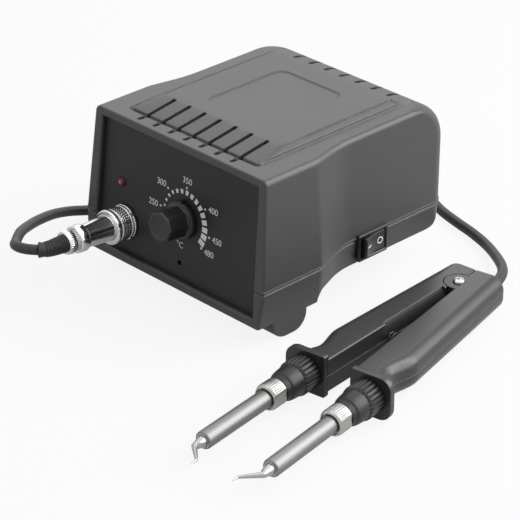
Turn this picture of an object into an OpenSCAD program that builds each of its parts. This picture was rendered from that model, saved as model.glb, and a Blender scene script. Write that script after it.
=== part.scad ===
/* [Station case] */
// Width of the case at the seam
case_w = 130; // [120:1:142]
// Depth from the foot of the front face to the rear wall
case_d = 141; // [136:1:150]
// Height of the seam between cover and base tray
seam_z = 30; // [29:0.5:32]
// Height of the rim round the raised top
rim_z = 88; // [85:1:100]
// Height of the raised top above the rim
plateau_h = 2.8; // [2:0.2:3.6]
// Height of the underside at the front
belly_z = 10; // [9:0.5:11]
// Height of the underside behind the front feet
rear_belly_z = 16.5; // [15.5:0.5:17.5]
// Lean of the front face from upright, in degrees
lean = 5.2; // [4:0.2:6.4]
// Step in on each side behind the waist, at the seam
waist_step = 8.5; // [7:0.5:9.5]
// Step in on each side behind the waist, at the rim
waist_top_step = 4.5; // [3.5:0.5:6]
// Distance from the foot of the front face to the start of the waist
waist_start = 42; // [39:1:45]
// Length of the waist curve
waist_l = 30; // [26:1:34]
// Inward draft of the cover between seam and rim
cover_draft = 3.6; // [2.6:0.2:4.4]
// Inward draft of the base between seam and underside
base_draft = 2.1; // [1.5:0.1:2.6]
// Wall of the moulded shells
wall = 2.2; // [2:0.1:2.4]
// Radius of the upper edges at the front and sides
edge_r = 3; // [2.6:0.2:4]
// Radius of the upper edge at the rear
rear_r = 22; // [19:0.5:23]
// Radius of the upright corners at the rear
corner_r = 9; // [7:0.5:11]
// Width of the vent slots
slot_w = 2.8; // [2.2:0.2:3.4]
// Distance between vent slots
slot_pitch = 11.1; // [10:0.1:12]
// Depth of the shallow tray in the raised top
tray_depth = 0.6; // [0.4:0.1:0.9]

/* [Front panel] */
// Depth of the panel behind the front rim
panel_recess = 3; // [2.6:0.1:3.4]
// Thickness of the panel
panel_t = 2; // [1.6:0.1:2.2]
// Width of the front rim beside the panel
rim_side = 5.4; // [5:0.1:6]
// Sideways place of the temperature knob
knob_x = 3.5; // [1:0.1:6]
// Height of the temperature knob
knob_z = 47.4; // [45:0.1:50]
// Radius of the knob at its foot
knob_r = 9.8; // [9:0.1:10.4]
// Height of the knob over the front rim
knob_h = 14; // [12:0.5:16]
// Sideways place of the lamp
lamp_x = -42.3; // [-44:0.1:-40]
// Height of the lamp
lamp_z = 51.8; // [50:0.1:56]
// Radius of the lamp
lamp_r = 2.5; // [2:0.1:2.6]
// Sideways place of the calibration hole
trim_x = 2.5; // [0:0.1:6]
// Height of the calibration hole
trim_z = 23.5; // [22.6:0.1:24.6]
// Sideways place of the handpiece socket
socket_x = -38.2; // [-40:0.1:-36.4]
// Height of the handpiece socket
socket_z = 31.5; // [30:0.1:33]

/* [Power switch] */
// Length of the switch bezel
switch_l = 21; // [20:0.5:23]
// Height of the switch bezel
switch_h = 15; // [14.5:0.5:16]
// Distance of the switch from the case middle towards the rear
switch_y = 19.6; // [17:0.2:22]
// Height of the middle of the switch
switch_z = 25.4; // [25:0.1:26]
// Tilt of the rocker to either side, in degrees
rocker_tilt = 9; // [6:0.5:10]

/* [Plug and cord] */
// Radius of the plug's coupling ring
ring_r = 9.25; // [9:0.05:10]
// Radius of the socket thread
thread_r = 8; // [7.6:0.1:8.2]
// Radius of the polished plug barrel
barrel_r = 6.75; // [6.4:0.05:7]
// Radius of the cord
cord_r = 2.7; // [2.4:0.1:2.9]
// Radius of the coil at the middle of its turns
coil_r = 30; // [27:0.5:33]
// Radius of the bore for a mains lead in the rear gland
gland_bore_r = 3.3; // [2.8:0.1:3.8]

/* [Handpiece] */
// Distance from the pivot to the front of the arm flanges
arm_l = 104; // [97:1:116]
// Distance from the pivot to the tail
tail_l = 16.5; // [15.5:0.5:19]
// Height of the arms
arm_h = 17.9; // [17:0.1:19]
// Height of the flanges, which the handpiece lies on
flange_h = 22.5; // [22:0.1:24]
// Half opening between the arms at rest, in degrees
half_open = 3.1; // [2.6:0.1:3.6]
// Distance of an arm's inner face from the middle when closed
inner_v = 1.6; // [1.4:0.1:2]
// Reach of an arm's outer face at the widest grip
grip_v = 21; // [20:0.5:22.5]
// Reach of an arm's outer face at the tail
tail_v = 17.5; // [16.5:0.5:18.5]
// Reach of an arm's outer face at the finger waist
finger_v = 17.4; // [16.8:0.2:18.4]
// Radius of the rounded outer edges of an arm
grip_r = 7; // [5.5:0.5:7.5]
// Wall of the arm shells
arm_wall = 2; // [1.8:0.1:2.2]
// Distance of a heating barrel from the middle at its flange
barrel_v = 12.6; // [12.4:0.1:13]
// Inward turn of each heating barrel, in degrees
toe_in = 2.5; // [2:0.1:3]
// Radius of the steel heating barrels
tube_r = 4.5; // [4.2:0.1:4.8]
// Length of the fluted collars
collar_l = 10.5; // [9.5:0.5:12]
// Radius of the fluted collars
collar_r = 9; // [8.8:0.1:9.4]
// Length of the black noses
nose_l = 11.5; // [10:0.5:13]
// Length of the barrel nuts
nut_l = 9.5; // [9:0.5:11]
// Radius of the barrel nuts
nut_r = 6.75; // [6.4:0.05:7]
// Length of the visible part of a heating barrel
tube_l = 45.5; // [40:0.5:52]
// Radius of the pivot knuckles
knuckle_r = 7.5; // [7:0.1:8]
// Radius of the pivot screw
pivot_r = 2; // [1.8:0.1:2.2]

/* [Hidden] */
$fn = 48;

// Running clearance of shafts and screws in their holes
run = 0.05;
// Gap between pieces that move past each other
clear = 0.3;
// Small overlap that joins two shapes of one piece
bite = 0.5;

// The part's origin lies under the middle of station and handpiece together
frame_x = 47.2;
frame_y = -43.4;

rear_y = case_d / 2 + 4.5;
foot_y = rear_y - case_d;
waist_y0 = foot_y + waist_start;
waist_y1 = waist_y0 + waist_l;
corner_steps = 4;

function front_y(z) = foot_y + (z - belly_z) * tan(lean);
function draft_at(z) = z >= seam_z
    ? cover_draft * (z - seam_z) / (rim_z - seam_z)
    : base_draft * (seam_z - z) / (seam_z - belly_z);
// Waist curve from 0 to 1: a soft corner, an even run and a fading end
waist_soft = 0.06;
waist_knee = 0.45;
waist_rate = 2 / (1 + waist_knee);
waist_marks = [-waist_soft, -waist_soft / 3, waist_soft / 3, waist_soft, 0.25, waist_knee, 0.6, 0.75, 0.88, 1];
function waist(t) = t <= -waist_soft ? 0
    : t < waist_soft ? waist_rate * pow(t + waist_soft, 2) / (4 * waist_soft)
    : t < waist_knee ? waist_rate * t
    : t < 1 ? waist_rate * (t - pow(t - waist_knee, 2) / (2 * (1 - waist_knee))) : 1;
function step_at(z) = waist_step + (waist_top_step - waist_step) * max(0, z - seam_z) / (rim_z - seam_z);
function smooth(t) = let (c = min(1, max(0, t))) c * c * (3 - 2 * c);
function side_x(y, z) = case_w / 2 - step_at(z) * waist((y - waist_y0) / waist_l) - draft_at(z);
function round_in(d, r) = d > 0 ? r - sqrt(max(0, r * r - d * d)) : 0;
function flip_x(list) = [for (i = [len(list) - 1:-1:0]) [-list[i][0], list[i][1]]];
function joined(lists) = [for (list = lists) for (p = list) p];
function arc(c, r, a0, a1, n) =
    [for (i = [0:n]) let (a = a0 + (a1 - a0) * i / n) c + r * [cos(a), sin(a)]];

// One level outline of the case: z, inset of the sides, inset of the front, height of the top,
// and the radii of its upper edges
function case_ring(z, inset, front_inset, top, r_edge, r_rear) =
    let (
        e = round_in(z - (top - r_edge), r_edge),
        yr = rear_y - inset - round_in(z - (top - r_rear), r_rear),
        half = side_x(rear_y, z) - inset - e,
        cr = corner_r - inset,
        ys = concat([front_y(z) + front_inset + e],
            [for (t = waist_marks) waist_y0 + waist_l * t]),
        right = concat([for (y = ys) [side_x(y, z) - inset - e, y]],
            arc([half - cr, yr - cr], cr, 0, 90, corner_steps)),
        outline = concat(right, flip_x(right))
    )
    [for (p = outline) [p[0], p[1], z]];

// Closed solid through a stack of rings that run anticlockwise seen from the far end
function loft_walls(n, m) = [for (k = [0:m - 2]) for (i = [0:n - 1]) let (
    a = k * n + i, b = k * n + (i + 1) % n, c = b + n, d = a + n) each [[a, d, c], [a, c, b]]];
module loft(rings) {
    n = len(rings[0]);
    m = len(rings);
    first = [for (i = [0:n - 1]) i];
    last = [for (i = [n - 1:-1:0]) (m - 1) * n + i];
    polyhedron(points = joined(rings), faces = concat([first], loft_walls(n, m), [last]));
}
// The same for rings with a left half that mirrors the right half, closed by level strips
module even_loft(rings) {
    n = len(rings[0]);
    m = len(rings);
    base = (m - 1) * n;
    first = [for (i = [0:n / 2 - 2]) each [[i, i + 1, n - 2 - i], [i, n - 2 - i, n - 1 - i]]];
    last = [for (i = [0:n / 2 - 2]) each [
        [base + n - 1 - i, base + n - 2 - i, base + i + 1], [base + n - 1 - i, base + i + 1, base + i]]];
    polyhedron(points = joined(rings), faces = concat(first, loft_walls(n, m), last));
}

// Round tube swept along a route of points
module swept_tube(route, r, sides) {
    n = len(route);
    rings = [for (i = [0:n - 1]) let (
        ahead = route[min(n - 1, i + 1)] - route[max(0, i - 1)],
        t = ahead / norm(ahead),
        s0 = cross(t, [0, 0, 1]),
        s = s0 / norm(s0),
        u = cross(s, t))
        [for (k = [0:sides - 1]) let (a = -360 * k / sides) route[i] + r * (cos(a) * s + sin(a) * u)]];
    loft(rings);
}

module rounded_bar(x0, x1, y0, y1, r, h) {
    linear_extrude(h) {
        translate([x0 + r, y0]) square([x1 - x0 - 2 * r, y1 - y0]);
        translate([x0, y0 + r]) square([x1 - x0, y1 - y0 - 2 * r]);
        for (x = [x0 + r, x1 - r], y = [y0 + r, y1 - r]) translate([x, y]) circle(r);
    }
}

module ring_solid(r_in, r_out, h) {
    difference() {
        cylinder(r = r_out, h = h);
        translate([0, 0, -1]) cylinder(r = r_in, h = h + 2);
    }
}

module hexagon(across_flats, h) {
    cylinder(r = across_flats / sqrt(3), h = h, $fn = 6);
}

module screw(head_r, head_h, shank_r, shank_l) {
    rotate_extrude() polygon([
        [0, -head_h], [head_r - 0.5, -head_h], [head_r, 0.5 - head_h], [head_r, 0],
        [shank_r, 0], [shank_r, shank_l - 1], [shank_r - 0.7, shank_l], [0, shank_l]]);
}

// Frames: the station, the plane of the front rim, the handpiece and each arm
module station() { translate([-frame_x, -frame_y, 0]) children(); }
module on_front(x, z) {
    station() translate([x, front_y(z), z]) rotate([90 - lean, 0, 0]) children();
}

// The raised top: a ramp at the front, short slopes at the sides and the rear
plateau_x0 = case_w / 2 - 18.5;
plateau_slope = 4.5;
plateau_y0 = front_y(rim_z) + 9.4;
plateau_ramp = 19.5;
plateau_y1 = rear_y - rear_r;
plateau_cr = 5;

function plateau_ring(half, y0, y1, cr, z) =
    let (right = concat(arc([half - cr, y0 + cr], cr, -90, 0, 3), arc([half - cr, y1 - cr], cr, 0, 90, 3)))
    [for (p = concat(right, flip_x(right))) [p[0], p[1], z]];

module plateau(inset, drop) {
    z0 = rim_z - drop;
    sink = bite / plateau_h;
    even_loft([
        plateau_ring(plateau_x0 + plateau_slope * sink - inset, plateau_y0 - plateau_ramp * sink + inset,
            plateau_y1 + plateau_slope * sink - inset, plateau_cr, z0 - bite),
        plateau_ring(plateau_x0 - plateau_slope - inset, plateau_y0 + plateau_ramp + inset,
            plateau_y1 - plateau_slope - inset, plateau_cr, z0 + plateau_h)]);
}

// Heights of the cover's rings, measured down from the top
cover_drops = [
    rear_r, 0.75 * rear_r, 0.52 * rear_r, 0.35 * rear_r, 0.22 * rear_r,
    edge_r, 0.65 * edge_r, 0.35 * edge_r, 0.1 * edge_r, 0];

module cover_body(inset, front_inset, z0) {
    top = rim_z - inset;
    r_edge = max(0.8, edge_r - inset);
    r_rear = rear_r - inset;
    levels = concat([z0], z0 < seam_z ? [seam_z] : [], [for (d = cover_drops) top - d * r_rear / rear_r]);
    even_loft([for (z = levels) case_ring(z, inset, front_inset, top, r_edge, r_rear)]);
}

module base_body(inset, front_inset, z0, z1) {
    levels = concat([z0], z1 > seam_z ? [seam_z] : [], [z1]);
    even_loft([for (z = levels) case_ring(z, inset, front_inset, rim_z + rear_r, edge_r, edge_r)]);
}

// Space under the raised rear of the base, offset upwards by the wall for the inside
belly_fillet = 5.5;
belly_round = seam_z - rear_belly_z - 1;
module belly_void(t) {
    step_y = waist_y0 - 1 - t;
    z = rear_belly_z + t;
    rr = belly_round - t;
    end_y = rear_y - t;
    rotate([90, 0, 90]) translate([0, 0, -case_w]) linear_extrude(2 * case_w) polygon(concat(
        [[step_y, -1]],
        arc([step_y + belly_fillet, z - belly_fillet], belly_fillet, 180, 90, 6),
        arc([end_y - rr, z + rr], rr, -90, 0, 6),
        [[end_y + case_d, z + rr], [end_y + case_d, -1]]));
}

// Opening for the panel through both shells
window_z0 = belly_z + 5.2;
window_z1 = rim_z - 4.5;
function up_panel(z) = (z - belly_z) / cos(lean);
function window_half(z) = side_x(foot_y, z) - rim_side;
module panel_outline(lap, z0, z1) {
    polygon([
        [-window_half(window_z0) - lap, up_panel(z0)], [window_half(window_z0) + lap, up_panel(z0)],
        [window_half(window_z1) + lap, up_panel(z1)], [-window_half(window_z1) - lap, up_panel(z1)]]);
}
module on_panel_foot() {
    translate([0, front_y(belly_z), belly_z]) rotate([90 - lean, 0, 0]) children();
}
module panel_window() {
    on_panel_foot() translate([0, 0, -panel_recess - 1]) linear_extrude(panel_recess + 6)
        panel_outline(0, window_z0, window_z1);
}

// Ribs that trap the panel from behind
panel_lap = 2;
rib_t = 2;
module panel_ribs(z0, z1) {
    on_panel_foot() for (side = [-1, 1])
        translate([side * (case_w / 2 - 4) - 7, up_panel(z0), -panel_recess - panel_t - 0.1 - rib_t])
            cube([14, up_panel(z1) - up_panel(z0), rib_t]);
}

// Case screws stand in posts of the base and bite into bosses of the cover
post_r = 4;
screw_r = 1.5;
screw_head_r = 2.8;
screw_head_h = 2.4;
screw_sink = 4;
screw_bite = 12;
post_front_y = foot_y + 26;
post_rear_y = rear_y - 24;
post_front_x = case_w / 2 - 25;
post_rear_x = case_w / 2 - waist_step - 13.5;
posts = [
    [-post_front_x, post_front_y, belly_z], [post_front_x, post_front_y, belly_z],
    [-post_rear_x, post_rear_y, rear_belly_z], [post_rear_x, post_rear_y, rear_belly_z]];

// Size of the part of the switch that passes through the wall
switch_body_l = switch_l - 2;
switch_body_h = switch_h - 2;
switch_depth = 14;
switch_x = side_x(rear_y, seam_z);
module switch_opening() {
    y0 = switch_y - switch_body_l / 2 - run;
    z0 = switch_z - switch_body_h / 2 - run;
    translate([switch_x - switch_depth, y0, z0])
        cube([2 * switch_depth, switch_body_l + 2 * run, switch_body_h + 2 * run]);
}

slot_count = 7;
front_slot_y = [front_y(rim_z) + 3.2, plateau_y0 + plateau_ramp];
rear_slot_y = [plateau_y1 + 0.5, plateau_y1 + 13];
module vent_slots(y0, y1, z0) {
    for (i = [0:slot_count - 1])
        translate([(i - (slot_count - 1) / 2) * slot_pitch, 0, z0])
            translate([-slot_w / 2, y0, 0]) cube([slot_w, y1 - y0, 2 * wall + plateau_h + rear_r]);
}

tray_half = 22;
tray_y0 = plateau_y0 + plateau_ramp + 10;
tray_y1 = plateau_y1 - plateau_slope - 15;
gland_x = -30;
gland_z = 47;
gland_r = 6;

module upper_cover() color([0.2, 0.2, 0.21]) station() difference() {
    union() {
        difference() {
            union() {
                cover_body(0, 0, seam_z);
                plateau(0, 0);
            }
            cover_body(wall, panel_recess, seam_z - 1);
            plateau(wall, wall);
        }
        intersection() {
            cover_body(wall / 2, panel_recess, seam_z + bite / 2);
            panel_ribs(seam_z + bite, rim_z);
        }
        for (p = posts) translate([p[0], p[1], seam_z])
            cylinder(r = post_r, h = rim_z - seam_z - wall / 2);
    }
    panel_window();
    switch_opening();
    for (p = posts) translate([p[0], p[1], seam_z - 1]) cylinder(r = screw_r, h = screw_bite + 2);
    vent_slots(front_slot_y[0], front_slot_y[1], rim_z - wall - 2);
    vent_slots(rear_slot_y[0], rear_slot_y[1], rim_z - 8);
    translate([0, 0, rim_z + plateau_h - tray_depth])
        rounded_bar(-tray_half, tray_half, tray_y0, tray_y1, 5, 5);
    translate([gland_x, rear_y + 5, gland_z]) rotate([90, 0, 0]) cylinder(r = gland_r + run, h = 12);
}

// Moulded front feet, flush with the sides of the base
foot_in = 14;
foot_x = side_x(foot_y, belly_z) - 0.3;
front_foot_y0 = foot_y + 10.5;
front_foot_l = 23.5;
front_foot_r = 9;
module front_foot() {
    y0 = front_foot_y0;
    y1 = front_foot_y0 + front_foot_l;
    top = belly_z + bite;
    rotate([90, 0, 90]) linear_extrude(foot_in) polygon(concat(
        [[y0, top]],
        arc([y0 + front_foot_r, front_foot_r], front_foot_r, 180, 270, 8),
        arc([y1 - front_foot_r, front_foot_r], front_foot_r, 270, 360, 8),
        [[y1, top]]));
}

rear_foot_x = 26;
rear_foot_y = rear_y - 22;
rear_foot_r = 7;
rear_stem_r = 2.8;

// The transformer stands on two short posts of the base floor
core_room = 64;
core_x = case_w - core_room;
core_y = 33;
core_z = 55;
coil_reach = 9;
tab_x = core_x / 2 + 7;
tab_post_h = 4;
core_at = [-4, rear_y - 50, rear_belly_z + wall + tab_post_h];
tab_screw_r = 1.5;

module base_tray() color([0.17, 0.17, 0.18]) station() difference() {
    union() {
        difference() {
            base_body(0, 0, belly_z, seam_z);
            belly_void(0);
            difference() {
                base_body(wall, panel_recess, belly_z + wall, seam_z + 1);
                belly_void(wall);
            }
        }
        intersection() {
            base_body(wall / 2, panel_recess, belly_z + wall / 2, seam_z);
            panel_ribs(belly_z, seam_z - bite);
        }
        for (p = posts) translate([p[0], p[1], p[2] + wall / 2])
            cylinder(r = post_r, h = seam_z - p[2] - wall / 2);
        for (side = [-1, 1]) translate([core_at[0] + side * tab_x, core_at[1], rear_belly_z + wall / 2])
            cylinder(r = post_r, h = wall / 2 + tab_post_h);
        for (x = [foot_x - foot_in, -foot_x]) translate([x, 0, 0]) front_foot();
    }
    panel_window();
    switch_opening();
    for (p = posts) translate([p[0], p[1], p[2] - 1]) {
        cylinder(r = screw_head_r + 0.2, h = screw_sink + 1);
        cylinder(r = screw_r + 0.1, h = seam_z);
    }
    for (side = [-1, 1]) {
        translate([core_at[0] + side * tab_x, core_at[1], rear_belly_z + wall])
            cylinder(r = tab_screw_r, h = 2 * tab_post_h);
        translate([side * rear_foot_x, rear_foot_y, rear_belly_z - 1])
            cylinder(r = rear_stem_r + run, h = wall + 2);
    }
}

module front_panel() color([0.11, 0.11, 0.12]) station() difference() {
    on_panel_foot() translate([0, 0, -panel_recess - panel_t]) linear_extrude(panel_t)
        panel_outline(panel_lap, belly_z + wall + 0.7, rim_z - wall - 0.9);
    for (hole = [
        [knob_x, knob_z, bush_r + run], [lamp_x, lamp_z, lamp_r + run],
        [trim_x, trim_z, trim_hole_r], [socket_x, socket_z, thread_r + 2 * run]])
        translate([hole[0], front_y(hole[1]), hole[1]]) rotate([90 - lean, 0, 0])
            translate([0, 0, -panel_recess - panel_t - 2]) cylinder(r = hole[2], h = panel_t + 4);
}

module rear_feet() color([0.08, 0.08, 0.08]) station() for (side = [-1, 1])
    translate([side * rear_foot_x, rear_foot_y, 0]) rotate_extrude() polygon([
        [0, 0], [rear_foot_r - 1.2, 0], [rear_foot_r, 1.2], [rear_foot_r - 1.5, rear_belly_z],
        [rear_stem_r, rear_belly_z],
        [rear_stem_r, rear_belly_z + wall + 1.5], [0, rear_belly_z + wall + 1.5]]);

module case_screws() color([0.6, 0.6, 0.62]) station() for (p = posts)
    translate([p[0], p[1], p[2] + screw_sink])
        screw(screw_head_r, screw_head_h, screw_r - run, seam_z - p[2] - screw_sink + screw_bite);

// Temperature control: potentiometer behind the panel, its nut and knob in front
bush_r = 3.5;
shaft_r = 3;
pot_r = 8.5;
board_gap = 9;
panel_back = -panel_recess - panel_t;
board_front = panel_back - board_gap;
board_t = 1.6;
knob_foot = -panel_recess + 0.5;
knob_face_r = knob_r - 1.8;
knob_flats = 8;

module temperature_knob() color([0.07, 0.07, 0.07]) on_front(knob_x, knob_z) difference() {
    union() {
        translate([0, 0, knob_foot]) cylinder(r = knob_r, h = 3);
        translate([0, 0, knob_foot + 2]) rotate([0, 0, 180 / knob_flats])
            cylinder(r = knob_face_r, h = knob_h - knob_foot - 2, $fn = knob_flats);
        translate([-0.7, 0, knob_foot]) cube([1.4, knob_r + 0.6, 3]);
    }
    translate([0, 0, knob_foot - 1]) cylinder(r = nut_clear_r, h = nut_t + 2);
    translate([0, 0, knob_foot - 1]) cylinder(r = shaft_r, h = knob_h - knob_foot - 2);
}

nut_t = 2;
nut_clear_r = 6.4;
module potentiometer_body() color([0.5, 0.52, 0.5]) on_front(knob_x, knob_z) difference() {
    union() {
        translate([0, 0, board_front]) cylinder(r = pot_r, h = board_gap);
        translate([0, 0, panel_back - bite]) cylinder(r = bush_r, h = bite + panel_t + nut_t + 1);
    }
    translate([0, 0, board_front + 3]) cylinder(r = shaft_r + run, h = board_gap + 20);
}
module potentiometer_shaft() color([0.75, 0.75, 0.75]) on_front(knob_x, knob_z)
    translate([0, 0, board_front + 3.2]) cylinder(r = shaft_r, h = knob_h - 3 - board_front - 3.2);
module potentiometer_nut() color([0.75, 0.75, 0.75]) on_front(knob_x, knob_z)
    translate([0, 0, -panel_recess]) difference() {
        hexagon(10, nut_t);
        translate([0, 0, -1]) cylinder(r = bush_r + run, h = nut_t + 2);
    }

module heating_lamp() color([0.45, 0.03, 0.05]) on_front(lamp_x, lamp_z) rotate_extrude() polygon(concat(
    [[0, panel_back - 5], [lamp_r, panel_back - 5], [lamp_r, panel_back - 1], [lamp_r + 0.4, panel_back - 1],
    [lamp_r + 0.4, panel_back], [lamp_r, panel_back]],
    arc([0, -panel_recess - 0.6], lamp_r, 0, 90, 6)));
module lamp_spacer() color([0.9, 0.9, 0.88]) on_front(lamp_x, lamp_z)
translate([0, 0, board_front]) difference() {
    cylinder(r = lamp_r + 1.5, h = board_gap - 1);
    translate([0, 0, board_gap - 5]) cylinder(r = lamp_r + run, h = 10);
}

trim_hole_r = 1.4;
trim_size = 9;
trim_h = 5;
rotor_r = 2;
module calibration_trimmer() color([0.1, 0.2, 0.55]) on_front(trim_x, trim_z)
translate([0, 0, board_front]) difference() {
    translate([-trim_size / 2, -trim_size / 2, 0]) cube([trim_size, trim_size, trim_h]);
    translate([0, 0, trim_h - 2]) cylinder(r = rotor_r + run, h = 5);
}
module trimmer_rotor() color([0.92, 0.92, 0.9]) on_front(trim_x, trim_z)
    translate([0, 0, board_front + trim_h - 1.8]) difference() {
        cylinder(r = rotor_r, h = 2.4);
        translate([-rotor_r, -0.3, 1.6]) cube([2 * rotor_r, 0.6, 2]);
    }

// Control board, parallel to the panel and carried by the potentiometer
board_x = [-50, 40];
board_z = [18, 66];
module control_board() color([0.05, 0.3, 0.15]) difference() {
    on_front(0, board_z[0]) translate([board_x[0], 0, board_front - board_t])
        cube([board_x[1] - board_x[0], (board_z[1] - board_z[0]) / cos(lean), board_t]);
    on_front(socket_x, socket_z) translate([0, 0, board_front - board_t - 2])
        cylinder(r = socket_tail_r + 2, h = board_t + 4);
}
module on_board(x, z) { on_front(x, z) translate([0, 0, board_front - board_t]) children(); }
module terminal_block() color([0.1, 0.45, 0.2]) on_board(22, 28) difference() {
    translate([-10, -4, -10]) cube([20, 8, 10]);
    for (x = [-7.5, -2.5, 2.5, 7.5]) translate([x, 0, -11]) cylinder(r = 1.5, h = 6);
}
triac_w = 10;
triac_l = 15;
triac_t = 4.5;
triac_x = post_front_x - post_r - triac_w / 2 - 5;
triac_z = board_z[1] - triac_l + 1;
module power_triac() color([0.12, 0.12, 0.12]) on_board(triac_x, triac_z)
    translate([-triac_w / 2, -triac_l / 2, -triac_t]) cube([triac_w, triac_l, triac_t]);
capacitor_r = 5;
capacitor_l = 16;
capacitor_x = -12;
capacitor_z = board_z[1] - 2 * capacitor_r;
module filter_capacitor() color([0.1, 0.1, 0.3]) on_board(capacitor_x, capacitor_z)
    translate([0, 0, -capacitor_l]) cylinder(r = capacitor_r, h = capacitor_l);

// Mains transformer: laminated core with two windows, coil and steel frame
leg = core_x / 6;
module transformer_core() color([0.35, 0.35, 0.37]) station() translate(core_at) difference() {
    translate([-core_x / 2, -core_y / 2, 0]) cube([core_x, core_y, core_z]);
    for (side = [-1, 1]) translate([side * 1.5 * leg - leg / 2, -core_y, leg])
        cube([leg, 2 * core_y, core_z - 2 * leg]);
}
module transformer_coil() color([0.75, 0.45, 0.15]) station() translate(core_at) difference() {
    translate([-2 * leg + 0.2, -core_y / 2 - coil_reach, leg + 0.2])
        cube([4 * leg - 0.4, core_y + 2 * coil_reach, core_z - 2 * leg - 0.4]);
    translate([-leg - run, -core_y / 2 - run, 0]) cube([2 * leg + 2 * run, core_y + 2 * run, core_z]);
}
frame_t = 1.2;
frame_w = 16;
tab_end = 5;
module transformer_frame() color([0.6, 0.6, 0.6]) station() translate(core_at) difference() {
    union() {
        translate([-core_x / 2 - frame_t - run, -frame_w / 2, 0])
            cube([core_x + 2 * frame_t + 2 * run, frame_w, core_z + frame_t + run]);
        translate([-tab_x - tab_end, -frame_w / 2, 0]) cube([2 * tab_x + 2 * tab_end, frame_w, frame_t]);
    }
    translate([-core_x / 2 - run, -core_y, -1]) cube([core_x + 2 * run, 2 * core_y, core_z + 1 + run]);
    for (side = [-1, 1]) translate([side * tab_x, 0, -1]) cylinder(r = tab_screw_r + 0.2, h = 5);
}
module transformer_screws() color([0.7, 0.7, 0.7]) station() for (side = [-1, 1])
    translate(core_at + [side * tab_x, 0, frame_t]) mirror([0, 0, 1])
        screw(2.8, 2, tab_screw_r - run, frame_t + tab_post_h - 0.5);

// Power switch: housing in the right wall, rocker on a pin that stands upright
bezel_t = 2;
rocker_l = switch_l - 4;
rocker_h = switch_h - 4.4;
pin_r = 1;
rocker_pin_x = switch_x - 1.5;
module switch_housing() color([0.05, 0.05, 0.05]) station() difference() {
    union() {
        translate([switch_x, switch_y - switch_l / 2, switch_z - switch_h / 2])
            cube([bezel_t, switch_l, switch_h]);
        translate([switch_x - switch_depth, switch_y - switch_body_l / 2, switch_z - switch_body_h / 2])
            cube([switch_depth + bite, switch_body_l, switch_body_h]);
    }
    translate([switch_x - 9, switch_y - rocker_l / 2 - clear, switch_z - rocker_h / 2 - clear])
        cube([20, rocker_l + 2 * clear, rocker_h + 2 * clear]);
    translate([rocker_pin_x, switch_y, switch_z - switch_h])
        cylinder(r = pin_r + run, h = 2 * switch_h);
}
// Rocker outline seen from above, tilted to its off side
rocker_rise = 3.2;
rocker_reach = rocker_l / 2 * cos(rocker_tilt) - 0.4;
module power_rocker() color([0.06, 0.06, 0.06]) station() translate([rocker_pin_x, switch_y, switch_z])
    rotate([0, 0, rocker_tilt]) {
        translate([0, 0, -rocker_h / 2]) linear_extrude(rocker_h) polygon(concat(
            [[-3, -4], [0.5, -rocker_reach], [rocker_rise + 1.3, -rocker_reach]],
            [[rocker_rise + 0.2, 0]],
            [[rocker_rise + 1.3, rocker_reach], [0.5, rocker_reach], [-3, 4]]));
        translate([0, 0, -switch_body_h / 2]) cylinder(r = pin_r, h = switch_body_h);
    }

module mains_gland() color([0.07, 0.07, 0.07]) station() translate([gland_x, rear_y, gland_z]) rotate([-90, 0, 0])
    rotate_extrude() polygon([
        [gland_bore_r, -wall - 5], [gland_r, -wall - 5], [gland_r, 0], [gland_r + 2.5, 0], [gland_r + 2.5, 1.5],
        [gland_r, 3], [gland_r - 0.8, 8], [gland_bore_r, 8]]);

// Handpiece socket and its round screw plug on one axis, which droops a little in the panel's hole
plug_droop = 2.1;
plug_rise = lean - plug_droop;
socket_seat = panel_recess + panel_t / 2;
socket_tail_r = 6.8;
socket_front = 4;
socket_flange_r = thread_r + 2;
socket_nut_r = ring_r + 0.05;
socket_nut_t = 1.35;
flange_lift = socket_flange_r * sin(plug_droop) + run;
nut_lift = socket_nut_r * sin(plug_droop) + run;
ring_front = -panel_recess + nut_lift + socket_nut_t + clear;
ring_back = 9.6;
plug_flange = [socket_front + run, 6];
barrel_end = 25.5;
band_end = 31.8;
clamp_end = 38.2;
module on_socket() {
    on_front(socket_x, socket_z) translate([0, 0, -socket_seat]) rotate([plug_droop, 0, 0])
        translate([0, 0, socket_seat]) children();
}
module panel_socket() color([0.8, 0.8, 0.8]) on_socket() {
    flange = panel_back - flange_lift;
    rotate_extrude() polygon([
        [0, panel_back - 11], [socket_tail_r, panel_back - 11], [socket_tail_r, flange - 2],
        [socket_flange_r, flange - 2], [socket_flange_r, flange], [thread_r, flange],
        [thread_r, socket_front], [0, socket_front]]);
}
nut_notch = [2, 0.8];
module socket_nut() color([0.8, 0.8, 0.8]) on_socket() translate([0, 0, nut_lift - panel_recess]) difference() {
    ring_solid(thread_r + run, socket_nut_r, socket_nut_t);
    for (a = [45:90:315]) rotate([0, 0, a])
        translate([socket_nut_r - nut_notch[1], -nut_notch[0] / 2, -1]) cube([5, nut_notch[0], socket_nut_t + 2]);
}
module coupling_ring() color([0.85, 0.85, 0.85]) on_socket() rotate_extrude() polygon([
    [thread_r + run, ring_front], [ring_r - 0.6, ring_front], [ring_r - 0.35, ring_front + 0.6],
    [ring_r - 0.35, ring_back - 3.5], [ring_r - 0.9, ring_back - 3], [ring_r, ring_back - 2.5],
    [ring_r, ring_back - 0.6], [ring_r - 0.6, ring_back], [barrel_r + run, ring_back],
    [barrel_r + run, plug_flange[1] + clear], [thread_r + run, plug_flange[1] + clear]]);
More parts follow.
